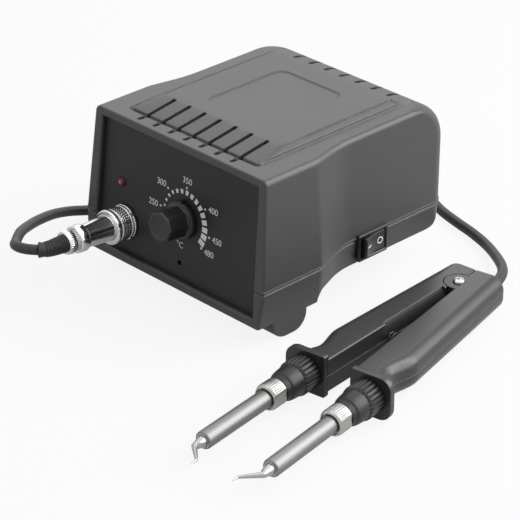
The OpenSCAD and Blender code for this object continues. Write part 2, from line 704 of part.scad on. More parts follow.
module plug_body() color([0.8, 0.8, 0.8]) on_socket() rotate_extrude() polygon([
    [0, plug_flange[0]], [thread_r - 0.2, plug_flange[0]], [thread_r - 0.2, plug_flange[1]],
    [barrel_r, plug_flange[1]], [barrel_r, ring_back + 1], [barrel_r - 0.75, barrel_end],
    [barrel_r + 0.1, barrel_end + 0.8], [barrel_r + 0.4, barrel_end + 1.4],
    [barrel_r + 0.4, band_end - 0.8], [barrel_r - 0.4, band_end], [0, band_end]]);
clamp_neck_r = 5.2;
clamp_r = 6.2;
module plug_clamp_nut() color([0.82, 0.82, 0.82]) on_socket() rotate_extrude() polygon([
    [0, band_end], [clamp_neck_r, band_end], [clamp_neck_r, band_end + 1], [clamp_r, band_end + 1.4],
    [clamp_r, clamp_end - 0.8], [clamp_r - 0.6, clamp_end], [0, clamp_end]]);

// Rubber boot of the plug: ribbed and straight, then bent by the cord towards the left
boot_straight = 45;
boot_turn = 40;
loop_r = 4.3 * cord_r;
boot_r = [4.7, cord_r + 1];
boot_ribs = 4;
rib_pitch = (boot_straight - clamp_end) / boot_ribs;
function boot_at(z) = boot_r[0] + (boot_r[1] - boot_r[0]) * (z - clamp_end) / (boot_straight - clamp_end);
module plug_boot() color([0.05, 0.05, 0.05]) on_socket() {
    rotate_extrude() polygon(concat(
        [[0, clamp_end]],
        [for (i = [0:boot_ribs - 1]) let (z = clamp_end + i * rib_pitch) each [
            [boot_at(z), z], [boot_at(z), z + 0.6 * rib_pitch], [boot_at(z) - 0.45, z + 0.7 * rib_pitch],
            [boot_at(z) - 0.45, z + 0.95 * rib_pitch]]],
        [[boot_r[1], boot_straight], [0, boot_straight]]));
    translate([-loop_r, 0, boot_straight]) rotate([90, 0, 0])
        rotate_extrude(angle = boot_turn) translate([loop_r, 0]) circle(boot_r[1]);
}

// Place of the handpiece beside the station and of the cord in its tail
heading = 8.8;
pivot_at = [108.6, 28];
mid_z = flange_h / 2;
arm_top = mid_z + arm_h / 2;
arm_low = mid_z - arm_h / 2;
tail_cord_v = 8.5;
bush_out = 3;

// The cord's route on the table, in the station's frame: out of the boot, round the left side to the coil,
// and from the coil to the handpiece
function out_of_socket(d) = [
    socket_x, front_y(socket_z) + socket_seat * cos(lean) - (d + socket_seat) * cos(plug_rise),
    socket_z - socket_seat * sin(lean) + (d + socket_seat) * sin(plug_rise)];
loop_end = 140;
loop_drop = 3;
function on_loop(a) = out_of_socket(boot_straight + loop_r * sin(a))
    - [loop_r * (1 - cos(a)), 0, loop_drop * pow((a - boot_turn) / (loop_end - boot_turn), 2)];
lie_z = cord_r + 0.1;
coil_at = [-48, 108];
coil_turns_high = 2;
coil_turns_wide = 2;
boot_exit = on_loop(boot_turn);
left_route = concat(
    [boot_exit, boot_exit + [-sin(boot_turn), -cos(boot_turn) * cos(plug_rise), cos(boot_turn) * sin(plug_rise)]],
    [for (a = [56:14:loop_end]) on_loop(a)], [
    [-67.9, -106, 29.6], [-80.4, -89.6, 23.5], [-91.5, -72.7, 17], [-99.9, -56.4, 11], [-103.3, -42.7, 6.3],
    [-102.4, -33.1, 3.6], [-98.3, -25.3, lie_z], [-93, -13, lie_z], [-88, 0, lie_z], [-84.5, 16, lie_z],
    [-82, 34, lie_z], [-80, 52, lie_z], [-78.6, 72, lie_z], [-78, 88, lie_z],
    [coil_at[0] - coil_r, coil_at[1], lie_z]]);
function tool_point(p) = [
    pivot_at[0] + p[0] * sin(heading) + p[1] * cos(heading),
    pivot_at[1] - p[0] * cos(heading) + p[1] * sin(heading)];
function turned(p, a) = [p[0] * cos(a) - p[1] * sin(a), p[0] * sin(a) + p[1] * cos(a)];
function cord_arm_point(u, v, z) = let (p = tool_point(turned([u, v], half_open))) [p[0], p[1], z];
right_route = concat([[coil_at[0], coil_at[1] + coil_r, lie_z]], [
    [-33, 137.5, lie_z], [-19, 134, lie_z], [-6, 127, lie_z], [6, 117.5, lie_z], [17, 109.5, lie_z],
    [29, 104, lie_z], [43, 100, lie_z], [58, 96.4, lie_z], [72, 91.6, lie_z], [87, 82.5, 4.6], [98.5, 73, 7.2],
    [106.5, 63.5, 9.8]], [
    cord_arm_point(-tail_l - bush_out - 4, tail_cord_v, mid_z),
    cord_arm_point(-tail_l - bush_out - clear, tail_cord_v, mid_z)]);
module cord_left() color([0.05, 0.05, 0.05]) station() swept_tube(left_route, cord_r, 8);
module cord_right() color([0.05, 0.05, 0.05]) station() swept_tube(right_route, cord_r, 8);
coil_w = 2 * cord_r * coil_turns_wide + 0.4;
coil_h = 2 * cord_r * coil_turns_high + 0.4;
module coil_section(grow) {
    translate([coil_r - coil_w / 2 - grow, -grow]) square([coil_w + 2 * grow, coil_h + 2 * grow]);
}
module cord_coil() color([0.05, 0.05, 0.05]) station() translate([coil_at[0], coil_at[1], 0])
rotate_extrude() difference() {
    coil_section(0);
    for (x = [coil_r - coil_w / 2, coil_r + coil_w / 2], z = [0, coil_h])
        translate([x, z]) rotate(45) square(2 * cord_r * 0.5, center = true);
}
tie_w = 6;
tie_t = 1;
module coil_tie() color([0.1, 0.1, 0.1]) station() translate([coil_at[0], coil_at[1], 0]) rotate([0, 0, 200])
    translate([coil_r, tie_w / 2, 0]) rotate([90, 0, 0]) linear_extrude(tie_w) difference() {
        translate([-coil_w / 2 - tie_t - 0.3, 0]) square([coil_w + 2 * tie_t + 0.6, coil_h + tie_t + 0.3]);
        translate([-coil_w / 2 - 0.3, -1]) square([coil_w + 0.6, coil_h + 1.3]);
    }

// Handpiece: lies flat, its pivot upright, the tips towards the front
module handpiece() { station() translate([pivot_at[0], pivot_at[1], 0]) rotate([0, 0, heading - 90]) children(); }
module cord_arm() { handpiece() rotate([0, 0, half_open]) children(); }
module swing_arm() { handpiece() mirror([0, 1, 0]) rotate([0, 0, half_open]) children(); }
module on_barrel() { translate([arm_l, barrel_v, mid_z]) rotate([0, 0, -toe_in]) rotate([0, 90, 0]) children(); }

// Plan of an arm: its inner face and its outer face along the arm
tail_r = 2.5;
flange_t = 3.5;
body_end = arm_l - flange_t + 0.7;
grip_u = body_end - 28;
finger_u = body_end - 11;
flare_v = 20.5;
tail_gap = clear / 2;
function arm_inner(u) = u <= 0 ? tail_gap - u * tan(half_open)
    : u < knuckle_r ? tail_gap + (inner_v - tail_gap) * u / knuckle_r : inner_v;
function arm_outer(u) =
    u < tail_r - tail_l ? tail_v - tail_r + sqrt(max(0, tail_r * tail_r - pow(tail_r - tail_l - u, 2)))
    : u < grip_u ? tail_v + (grip_v - tail_v) * (u + tail_l) / (grip_u + tail_l)
    : u < finger_u ? grip_v + (finger_v - grip_v) * smooth((u - grip_u) / (finger_u - grip_u))
    : finger_v + (flare_v - finger_v) * smooth((u - finger_u) / (body_end - finger_u));
arm_stations = [
    -tail_l, 0.07 * tail_r - tail_l, 0.25 * tail_r - tail_l, 0.56 * tail_r - tail_l, tail_r - tail_l,
    0, knuckle_r, knuckle_r + 16, (knuckle_r + grip_u) / 2,
    grip_u, grip_u + 4, grip_u + 8.5, grip_u + 13, finger_u, finger_u + 4, finger_u + 7, body_end];

// Section of an upper half arm at one station, with an inset for the hollow
function arm_section(u, inset) =
    let (vi = arm_inner(u) + inset, vo = arm_outer(u) - inset, top = arm_h / 2 - inset,
        r = min(grip_r - inset, vo - vi - 0.5))
    [for (p = concat([[vi, 0], [vo, 0]], arc([vo - r, top - r], r, 0, 90, 6), [[vi, top]])) [u, p[0], mid_z + p[1]]];
module arm_half(inset, u0, u1) {
    us = concat([u0], [for (u = arm_stations) if (u > u0 && u < u1) u], [u1]);
    loft([for (u = us) arm_section(u, inset)]);
}
module lower_side() { translate([0, 0, mid_z]) mirror([0, 0, 1]) translate([0, 0, -mid_z]) children(); }

flange_out = 12;
flange_r = 6.5;
nose_r = 5.5;
module flange_half() {
    vi = inner_v - barrel_v;
    on_barrel() translate([0, 0, -flange_t]) linear_extrude(flange_t) rotate(90) polygon(concat(
        [[vi, 0], [flange_out, 0]], arc([flange_out - flange_r, mid_z - flange_r], flange_r, 0, 90, 6),
        [[vi, mid_z]]));
}
arm_screw_u = [0.3 * arm_l, 0.84 * arm_l];
function arm_screw_v(u) = (inner_v + arm_outer(u)) / 2;
arm_screw_head_r = 2.6;
arm_screw_r = 1.4;
spring_u = 53;
spring_post_r = 2.1;
spring_post_l = 1.3;
bush_r0 = cord_r + 1.6;
hollow_u = [knuckle_r + 6, body_end - 5];

// Shell of one half of an arm; has_knuckle says whether it carries the pivot's eye
module arm_shell(has_knuckle, has_cord, is_lower) {
    difference() {
        union() {
            difference() {
                union() {
                    arm_half(0, -tail_l, body_end);
                    flange_half();
                }
                difference() {
                    translate([0, 0, -0.01]) arm_half(arm_wall, hollow_u[0], hollow_u[1]);
                    for (u = arm_screw_u) translate([u, arm_screw_v(u), mid_z - 1])
                        cylinder(r = 3.4, h = arm_h);
                }
                if (!has_knuckle) translate([0, 0, mid_z - 1]) cylinder(r = knuckle_r + clear, h = arm_h);
            }
            if (has_knuckle) translate([0, 0, mid_z + clear / 2])
                cylinder(r = knuckle_r, h = arm_h / 2 - clear / 2);
            intersection() {
                translate([spring_u, inner_v + bite, mid_z]) rotate([90, 0, 0])
                    cylinder(r = spring_post_r, h = spring_post_l + bite);
                translate([spring_u - 10, -10, mid_z]) cube(20);
            }
        }
        if (has_knuckle) {
            translate([-knuckle_r - clear, -knuckle_r - clear, mid_z - 1])
                cube([2 * knuckle_r + 2 * clear, 2 * knuckle_r + 2 * clear, 1 + clear / 2]);
            translate([0, 0, mid_z - 1]) cylinder(r = pivot_r + run, h = arm_h);
        }
        on_barrel() translate([0, 0, -nose_stem - 0.2]) cylinder(r = nose_r + run, h = nose_stem + 1);
        for (u = arm_screw_u) translate([u, arm_screw_v(u), 0]) {
            if (is_lower) {
                translate([0, 0, mid_z - 1]) cylinder(r = arm_screw_r + 0.2, h = arm_h);
                translate([0, 0, arm_top - arm_sink]) cylinder(r = arm_screw_head_r + 0.2, h = arm_h);
            } else {
                translate([0, 0, mid_z - 1]) cylinder(r = arm_screw_r, h = arm_screw_bite + 1);
            }
        }
        if (has_cord) {
            translate([-tail_l - 1, tail_cord_v, mid_z]) rotate([0, 90, 0])
                cylinder(r = bush_r0 + run, h = bush_in + 1.3);
        }
    }
}
nose_stem = 8;
arm_sink = 3;
arm_screw_bite = 6;
bush_in = 6;

// Bevel along the inner top edge of the swinging arm, from the knuckle to the spring
bevel = [2, 4];
bevel_u = [knuckle_r + 1.5, 57];
module inner_bevel() {
    translate([bevel_u[0], inner_v, arm_top]) rotate([90, 0, 90]) linear_extrude(bevel_u[1] - bevel_u[0])
        polygon([[-1, 1], [bevel[0], 1], [bevel[0], 0], [0, -bevel[1]], [-1, -bevel[1]]]);
}
shell_tint = [0.2, 0.2, 0.21];
module cord_arm_upper_shell() color(shell_tint) cord_arm() arm_shell(true, true, false);
module cord_arm_lower_shell() color(shell_tint) cord_arm() lower_side() arm_shell(false, true, true);
module swing_arm_upper_shell() color(shell_tint) swing_arm() difference() {
    arm_shell(false, false, false);
    inner_bevel();
}
module swing_arm_lower_shell() color(shell_tint) swing_arm() lower_side() arm_shell(true, false, true);

// Pivot screw from above with its nut below, on which the tail rests
pivot_head_r = 3;
pivot_head_h = 1.6;
module pivot_screw() color([0.8, 0.8, 0.8]) handpiece() translate([0, 0, arm_top]) mirror([0, 0, 1])
    screw(pivot_head_r, pivot_head_h, pivot_r, arm_top - 0.3);
module pivot_nut() color([0.8, 0.8, 0.8]) handpiece() difference() {
    hexagon(7, arm_low);
    translate([0, 0, -1]) cylinder(r = pivot_r + run, h = arm_low + 2);
}

// Return spring between the arms
spring_r = 3.1;
spring_wire = 0.35;
spring_turns = 4;
spring_sides = 6;
spring_step = 14;
spring_half = inner_v + spring_u * tan(half_open) - 0.2;
module return_spring() color([0.75, 0.75, 0.75]) handpiece() {
    n = spring_turns * spring_step;
    loft([for (i = [0:n]) let (
        a = 360 * i / spring_step,
        out = [cos(a), 0, sin(a)],
        c = [spring_u, (2 * i / n - 1) * (spring_half - spring_wire), mid_z] + spring_r * out)
        [for (k = [0:spring_sides - 1]) let (b = 360 * k / spring_sides)
            c + spring_wire * (cos(b) * out + [0, sin(b), 0])]]);
}

module tail_bush() color([0.05, 0.05, 0.05]) cord_arm() translate([-tail_l, tail_cord_v, mid_z]) rotate([0, 90, 0])
    rotate_extrude() polygon([
        [0, -bush_out], [cord_r + 0.6, -bush_out], [bush_r0 - 0.2, 0], [bush_r0, 0],
        [bush_r0, bush_in], [0, bush_in]]);

module arm_screws() {
    lower_side() for (u = arm_screw_u) translate([u, arm_screw_v(u), arm_top - arm_sink]) mirror([0, 0, 1])
        screw(arm_screw_head_r, 1.8, arm_screw_r - run, arm_h / 2 - arm_sink + arm_screw_bite - 0.5);
}
module cord_arm_screws() color([0.6, 0.6, 0.6]) cord_arm() arm_screws();
module swing_arm_screws() color([0.6, 0.6, 0.6]) swing_arm() arm_screws();

// Pieces in front of each flange, along the heating barrel
collar_end = collar_l;
nose_end = collar_end + nose_l;
nut_end = nose_end + nut_l;
tube_end = nut_end + tube_l;
spigot_r = 5.2;
spigot_l = 5;
flutes = 20;
flute_depth = 0.8;
module collar() {
    on_barrel() difference() {
        union() {
            linear_extrude(collar_l - 1.2) polygon([for (i = [0:flutes - 1]) each let (s = 360 / flutes) [
                collar_r * [cos(i * s), sin(i * s)], collar_r * [cos((i + 0.62) * s), sin((i + 0.62) * s)],
                (collar_r - flute_depth) * [cos((i + 0.68) * s), sin((i + 0.68) * s)],
                (collar_r - flute_depth) * [cos((i + 0.94) * s), sin((i + 0.94) * s)]]]);
            cylinder(r = collar_r - flute_depth + 0.1, h = collar_l);
        }
        translate([0, 0, -1]) cylinder(r = nose_r + run, h = collar_l + 2);
    }
}
heater_r = 2;
dome_r = [collar_r - 0.9, nut_r + 0.1];
dome_l = 0.72 * nose_l;
module nose() {
    on_barrel() rotate_extrude() polygon(concat(
        [[heater_r + run, -nose_stem], [nose_r, -nose_stem], [nose_r, collar_end]],
        [for (a = [0:15:75]) [dome_r[1] + (dome_r[0] - dome_r[1]) * cos(a), collar_end + dome_l * sin(a)]],
        [[dome_r[1], collar_end + dome_l], [nut_r - 0.2, nose_end], [spigot_r, nose_end],
        [spigot_r, nose_end + spigot_l], [heater_r + run, nose_end + spigot_l]]));
}
tube_flange_r = 5.1;
tube_flange_t = 1;
nut_flat = 0.86 * nut_r;
module barrel_nut() {
    on_barrel() difference() {
        translate([0, 0, nose_end]) rotate_extrude() polygon([
            [0, 0], [nut_r - 0.3, 0], [nut_r, 0.4], [nut_r, nut_l - 1.2], [nut_r - 1, nut_l], [0, nut_l]]);
        translate([0, 0, nose_end - 1]) cylinder(r = spigot_r + run, h = spigot_l + tube_flange_t + 1.2);
        translate([0, 0, nose_end - 1]) cylinder(r = tube_r + run, h = nut_l + 2);
        for (side = [-1, 1]) translate([-nut_r, side * (nut_flat + nut_r) - nut_r, nose_end - 1])
            cube([2 * nut_r, 2 * nut_r, nut_l + 2]);
    }
}
tube_wall = 0.6;
module barrel() {
    start = nose_end + spigot_l + run;
    on_barrel() rotate_extrude() polygon([
        [tube_r - tube_wall, start], [tube_flange_r, start], [tube_flange_r, start + tube_flange_t],
        [tube_r, start + tube_flange_t],
        [tube_r, tube_end - 0.5], [tube_r - 0.3, tube_end], [tube_r - tube_wall, tube_end]]);
}
tip_seat = 10;
module heater() {
    on_barrel() translate([0, 0, -nose_stem]) cylinder(r = heater_r, h = tube_end - 2 + nose_stem);
}

// Bent tip: a cone out of the barrel, a tapered blade turned inwards and a short point
cone_l = 6.2;
cone_r = 3;
blade_r = 1.3;
bend_r = 0.65;
point_r = 0.22;
blade_reach = 7.4;
point_reach = 4;
barrel_end_v = barrel_v - tube_end * sin(toe_in);
bend_v = 1.1;
point_v = 0.6;
module tip() {
    tube_end_u = arm_l + tube_end * cos(toe_in);
    knee = [tube_end_u + cone_l, barrel_end_v - cone_l * sin(toe_in), mid_z];
    bend = [knee[0] + blade_reach, bend_v, mid_z];
    point = [bend[0] + point_reach, point_v, mid_z];
    on_barrel() difference() {
        rotate_extrude() polygon([
            [0, tube_end - tip_seat], [tube_r - tube_wall - run, tube_end - tip_seat],
            [tube_r - tube_wall - run, tube_end], [cone_r, tube_end],
            [blade_r, tube_end + cone_l], [0, tube_end + cone_l + 0.6]]);
        translate([0, 0, tube_end - tip_seat - 1]) cylinder(r = heater_r + run, h = tip_seat);
    }
    hull() {
        translate(knee) sphere(blade_r, $fn = 16);
        translate(bend) sphere(bend_r, $fn = 16);
    }
    hull() {
        translate(bend) sphere(bend_r, $fn = 16);
        translate(point) sphere(point_r, $fn = 16);
    }
}
black = [0.06, 0.06, 0.06];
nickel = [0.8, 0.78, 0.74];
steel = [0.72, 0.72, 0.72];
module cord_arm_collar() color(black) cord_arm() collar();
module swing_arm_collar() color(black) swing_arm() collar();
module cord_arm_nose() color(black) cord_arm() nose();
module swing_arm_nose() color(black) swing_arm() nose();
module cord_arm_barrel_nut() color(nickel) cord_arm() barrel_nut();
module swing_arm_barrel_nut() color(nickel) swing_arm() barrel_nut();
module cord_arm_barrel() color(steel) cord_arm() barrel();
module swing_arm_barrel() color(steel) swing_arm() barrel();
module cord_arm_heater() color([0.9, 0.88, 0.85]) cord_arm() heater();
module swing_arm_heater() color([0.9, 0.88, 0.85]) swing_arm() heater();
module cord_arm_tip() color(steel) cord_arm() tip();
module swing_arm_tip() color(steel) swing_arm() tip();

upper_cover();
base_tray();
front_panel();
rear_feet();
case_screws();
temperature_knob();
potentiometer_body();
potentiometer_shaft();
potentiometer_nut();
heating_lamp();
lamp_spacer();
calibration_trimmer();
trimmer_rotor();
control_board();
terminal_block();
power_triac();
filter_capacitor();
transformer_core();
transformer_coil();
transformer_frame();
transformer_screws();
switch_housing();
power_rocker();
mains_gland();
panel_socket();
socket_nut();
coupling_ring();
plug_body();
plug_clamp_nut();
plug_boot();
cord_left();
cord_coil();
coil_tie();
cord_right();
cord_arm_upper_shell();
cord_arm_lower_shell();
swing_arm_upper_shell();
swing_arm_lower_shell();
pivot_screw();
pivot_nut();
return_spring();
tail_bush();
cord_arm_screws();
swing_arm_screws();
cord_arm_collar();
swing_arm_collar();
cord_arm_nose();
swing_arm_nose();
cord_arm_barrel_nut();
swing_arm_barrel_nut();
cord_arm_barrel();
swing_arm_barrel();
cord_arm_heater();
swing_arm_heater();
cord_arm_tip();
swing_arm_tip();
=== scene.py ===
import math

import bmesh
import bpy
from mathutils import Matrix, Vector


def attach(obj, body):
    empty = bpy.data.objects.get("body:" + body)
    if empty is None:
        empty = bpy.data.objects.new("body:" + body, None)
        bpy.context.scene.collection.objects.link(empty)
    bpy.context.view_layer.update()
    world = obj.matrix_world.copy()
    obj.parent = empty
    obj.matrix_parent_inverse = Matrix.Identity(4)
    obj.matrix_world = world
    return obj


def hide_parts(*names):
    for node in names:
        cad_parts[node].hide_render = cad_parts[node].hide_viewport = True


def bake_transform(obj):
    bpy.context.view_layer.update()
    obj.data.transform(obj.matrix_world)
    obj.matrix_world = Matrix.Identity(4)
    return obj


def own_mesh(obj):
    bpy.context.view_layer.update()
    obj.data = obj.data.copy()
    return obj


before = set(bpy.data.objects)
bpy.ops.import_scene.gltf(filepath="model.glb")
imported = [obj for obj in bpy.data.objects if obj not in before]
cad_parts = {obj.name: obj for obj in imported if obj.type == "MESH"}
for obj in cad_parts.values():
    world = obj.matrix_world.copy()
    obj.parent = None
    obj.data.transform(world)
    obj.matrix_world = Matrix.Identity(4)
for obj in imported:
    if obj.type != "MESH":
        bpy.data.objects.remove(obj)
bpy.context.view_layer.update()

# Sizes, in millimetres and degrees, in the station's own frame

MM = 0.001
FRAME_X, FRAME_Y = 47.2, -43.4
CASE_W, CASE_D = 130.0, 141.0
SEAM_Z, RIM_Z, PLATEAU_H = 30.0, 88.0, 2.8
BELLY_Z, REAR_BELLY_Z, BELLY_FILLET = 10.0, 16.5, 5.5
LEAN = 5.2
WAIST_STEP, WAIST_TOP_STEP, WAIST_START, WAIST_L = 8.5, 4.5, 42.0, 30.0
WAIST_SOFT, WAIST_KNEE = 0.06, 0.45
COVER_DRAFT, BASE_DRAFT = 3.6, 2.1
WALL, EDGE_R, REAR_R, CORNER_R = 2.2, 3.0, 22.0, 9.0
FRONT_CORNER_R, FRONT_EDGE_R = 1.2, 0.9
PANEL_RECESS, PANEL_T, RIM_SIDE = 3.0, 2.0, 5.4
REAR_Y = CASE_D / 2 + 4.5
FOOT_Y = REAR_Y - CASE_D
WAIST_Y0 = FOOT_Y + WAIST_START

HEADING = 8.8
PIVOT = (108.6, 28.0)
ARM_L, TAIL_L, ARM_H, FLANGE_H = 104.0, 16.5, 17.9, 22.5
HALF_OPEN, INNER_V, GRIP_V, TAIL_V, FINGER_V = 3.1, 1.6, 21.0, 17.5, 17.4
GRIP_R, FLARE_V, TAIL_R = 7.0, 20.5, 2.5
BARREL_V, TOE_IN, TUBE_R = 12.6, 2.5, 4.5
COLLAR_L, COLLAR_R, NOSE_L, NUT_L, NUT_R, TUBE_L = 10.5, 9.0, 11.5, 9.5, 6.75, 45.5
KNUCKLE_R, PIVOT_R, CLEAR = 7.5, 2.0, 0.3
MID_Z = FLANGE_H / 2
ARM_TOP = MID_Z + ARM_H / 2


def turn(axis, degrees):
    return Matrix.Rotation(math.radians(degrees), 4, axis)


def shift(x, y, z):
    return Matrix.Translation((x, y, z))


def cosd(degrees):
    return math.cos(math.radians(degrees))


def sind(degrees):
    return math.sin(math.radians(degrees))


def tand(degrees):
    return math.tan(math.radians(degrees))


STATION = Matrix.Scale(MM, 4) @ shift(-FRAME_X, -FRAME_Y, 0)
INTO_STATION = STATION.inverted()
HANDPIECE = STATION @ shift(*PIVOT, 0) @ turn("Z", HEADING - 90)
CORD_ARM = HANDPIECE @ turn("Z", HALF_OPEN)
SWING_ARM = HANDPIECE @ Matrix.Diagonal((1, -1, 1, 1)) @ turn("Z", HALF_OPEN)
ARMS = (("cord_arm", CORD_ARM, "handpiece"), ("swing_arm", SWING_ARM, "swing_arm"))
ON_BARREL = shift(ARM_L, BARREL_V, MID_Z) @ turn("Z", -TOE_IN) @ turn("Y", 90)
LOWER = shift(0, 0, MID_Z) @ Matrix.Diagonal((1, 1, -1, 1)) @ shift(0, 0, -MID_Z)


def front_y(z):
    return FOOT_Y + (z - BELLY_Z) * tand(LEAN)


def on_front(x, z, depth=0.0):
    """Place on the leaning front plane, or that far behind it."""
    return STATION @ shift(x, front_y(z), z) @ turn("X", 90 - LEAN) @ shift(0, 0, -depth)


# Mesh helpers

CREASE = 32
POLE_R = 1e-5


def arc(cx, cy, r, a0, a1, n):
    angles = [a0 + (a1 - a0) * i / n for i in range(n + 1)]
    return [(cx + r * cosd(a), cy + r * sind(a)) for a in angles]


def mirrored(right):
    return right + [(-x, y) for x, y in reversed(right)]


def rounded(foot_half, top_half, y0, y1, r, n):
    """Outline with four round corners of n steps each, the same on both sides."""
    return mirrored(arc(foot_half - r, y0 + r, r, -90, 0, n) + arc(top_half - r, y1 - r, r, 0, 90, n))


def at_height(outline, z):
    return [(x, y, z) for x, y in outline]


def polar_ring(n, h, radius):
    """Ring of n points at one height, with a radius for each point's number and angle."""
    ring = []
    for i in range(n):
        a = 2 * math.pi * i / n
        r = radius(i, a)
        ring.append((r * math.cos(a), r * math.sin(a), h))
    return ring


def smooth(t):
    t = min(1.0, max(0.0, t))
    return t * t * (3 - 2 * t)


def clean(mesh, merge, carved=False):
    """Merges doubles, then drops the slivers of a carved mesh, or turns the faces of another outwards."""
    bm = bmesh.new()
    bm.from_mesh(mesh)
    bmesh.ops.remove_doubles(bm, verts=bm.verts, dist=merge)
    if carved:
        bmesh.ops.dissolve_degenerate(bm, edges=bm.edges, dist=merge)
    else:
        bmesh.ops.recalc_face_normals(bm, faces=bm.faces)
    bm.to_mesh(mesh)
    bm.free()


def put(mesh, place):
    mesh.transform(place)
    if place.determinant() < 0:
        mesh.flip_normals()


def crease(mesh, angle):
    mesh.shade_smooth()
    mesh.set_sharp_from_angle(angle=math.radians(angle))


def paint(mesh, material):
    mesh.materials.clear()
    mesh.materials.append(material)


def new_object(name, data):
    obj = bpy.data.objects.new(name, data)
    bpy.context.scene.collection.objects.link(obj)
    return obj


def finish_mesh(name, mesh, material=None, angle=CREASE):
    clean(mesh, 1e-7)
    crease(mesh, angle)
    if material is not None:
        paint(mesh, material)
    return new_object(name, mesh)


def piece(name, verts, faces, place=None, material=None, angle=CREASE):
    mesh = bpy.data.meshes.new(name)
    mesh.from_pydata([tuple(v) for v in verts], [], faces)
    if place is not None:
        mesh.transform(place)
    return finish_mesh(name, mesh, material, angle)


def loft_data(rings, cap=True):
    n, last = len(rings[0]), len(rings) - 1
    verts = [p for ring in rings for p in ring]
    faces = []
    for k in range(last):
        for i in range(n):
            j = (i + 1) % n
            faces.append((k * n + i, k * n + j, (k + 1) * n + j, (k + 1) * n + i))
    if cap:
        faces += [tuple(reversed(range(n))), tuple(range(last * n, (last + 1) * n))]
    return verts, faces


def loft(name, rings, place=None, material=None, angle=CREASE, cap=True):
    return piece(name, *loft_data(rings, cap), place, material, angle)


def lathe(name, profile, place=Matrix(), material=None, sides=64):
    """Turned solid from rows of radius and height, a hollow one where it doesn't start on the axis."""
    rings = [polar_ring(sides, h, lambda i, a: max(r, POLE_R)) for r, h in profile]
    hollow = profile[0][0] > POLE_R
    obj = loft(name, rings + rings[:1] if hollow else rings, None, material, cap=not hollow)
    clean(obj.data, 1e-4)
    put(obj.data, place)
    crease(obj.data, CREASE)
    return obj


def block(name, lo, hi, place=None):
    (x0, y0, z0), (x1, y1, z1) = lo, hi
    outline = [(x0, y0), (x1, y0), (x1, y1), (x0, y1)]
    return loft(name, [at_height(outline, z) for z in (z0, z1)], place)


def evaluated(obj):
    graph = bpy.context.evaluated_depsgraph_get()
    graph.update()
    return bpy.data.meshes.new_from_object(obj.evaluated_get(graph))


def applied(obj):
    mesh, old = evaluated(obj), obj.data
    obj.modifiers.clear()
    obj.data = mesh
    bpy.data.meshes.remove(old)
    return obj


def carve(obj, *cutters, add=False):
    for cutter in cutters:
        step = obj.modifiers.new("carve", "BOOLEAN")
        step.operation = "UNION" if add else "DIFFERENCE"
        step.solver = "EXACT"
        step.object = cutter
        applied(obj)
        bpy.data.objects.remove(cutter)


def shaded(obj, material, angle, place):
    """Cleans a carved piece, puts it in its place and evens its shading."""
    clean(obj.data, 1e-3, carved=True)
    put(obj.data, place)
    crease(obj.data, angle)
    paint(obj.data, material)
    even = obj.modifiers.new("even_shading", "WEIGHTED_NORMAL")
    even.keep_sharp = True
    even.weight = 80
    applied(obj)


def join(name, objects):
    for o in bpy.context.selected_objects:
        o.select_set(False)
    for o in objects:
        o.select_set(True)
    bpy.context.view_layer.objects.active = objects[0]
    bpy.ops.object.join()
    objects[0].name = name
    objects[0].data.name = name
    objects[0].select_set(False)
    return objects[0]


def worn(obj, body, slot_name, *nodes):
    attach(obj, body)
    if nodes:
        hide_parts(*nodes)


# Node helpers

SOCKET_KIND = {int: "NodeSocketInt", float: "NodeSocketFloat", tuple: "NodeSocketVector"}


def add_inputs(tree, inputs):
    for label, value in inputs.items():
        socket = tree.interface.new_socket(label, in_out="INPUT", socket_type=SOCKET_KIND[type(value)])
        socket.default_value = value


def feed(tree, made, sockets):
    """Sets a node's inputs: another node's output is linked, anything else is a plain value."""
    for key, value in sockets.items():
        if isinstance(value, bpy.types.NodeSocket):
            tree.links.new(value, made.inputs[key])
        else:
            made.inputs[key].default_value = value


def node(tree, kind, sockets, **settings):
    made = tree.nodes.new(kind)
    for key, value in settings.items():
        setattr(made, key, value)
    feed(tree, made, sockets)
    return made


def calc(tree, operation, *values):
    return node(tree, "ShaderNodeMath", dict(enumerate(values)), operation=operation).outputs[0]


def compare(tree, operation, a, b):
    """Dot product or distance of two vectors."""
    return node(tree, "ShaderNodeVectorMath", {0: a, 1: b}, operation=operation).outputs["Value"]


def mixed(tree, factor, a, b, **settings):
    sockets = {"Factor": factor, "A": a, "B": b}
    return node(tree, "ShaderNodeMix", sockets, data_type="RGBA", **settings).outputs["Result"]


def noise(tree, vector, scale, detail, rough):
    sockets = {"Vector": vector, "Scale": scale, "Detail": detail, "Roughness": rough}
    return node(tree, "ShaderNodeTexNoise", sockets).outputs["Fac"]


def object_point(tree):
    return tree.nodes.new("ShaderNodeTexCoord").outputs["Object"]


def shader_group(name, inputs):
    tree = bpy.data.node_groups.new(name, "ShaderNodeTree")
    add_inputs(tree, inputs)
    return tree, tree.nodes.new("NodeGroupInput").outputs


def put_out(tree, values):
    """Ends a shader group with its named outputs."""
    for label, value in values.items():
        kind = "NodeSocketVector" if value.type == "VECTOR" else "NodeSocketFloat"
        tree.interface.new_socket(label, in_out="OUTPUT", socket_type=kind)
    node(tree, "NodeGroupOutput", values)
    return tree


# Effects that several finishes share

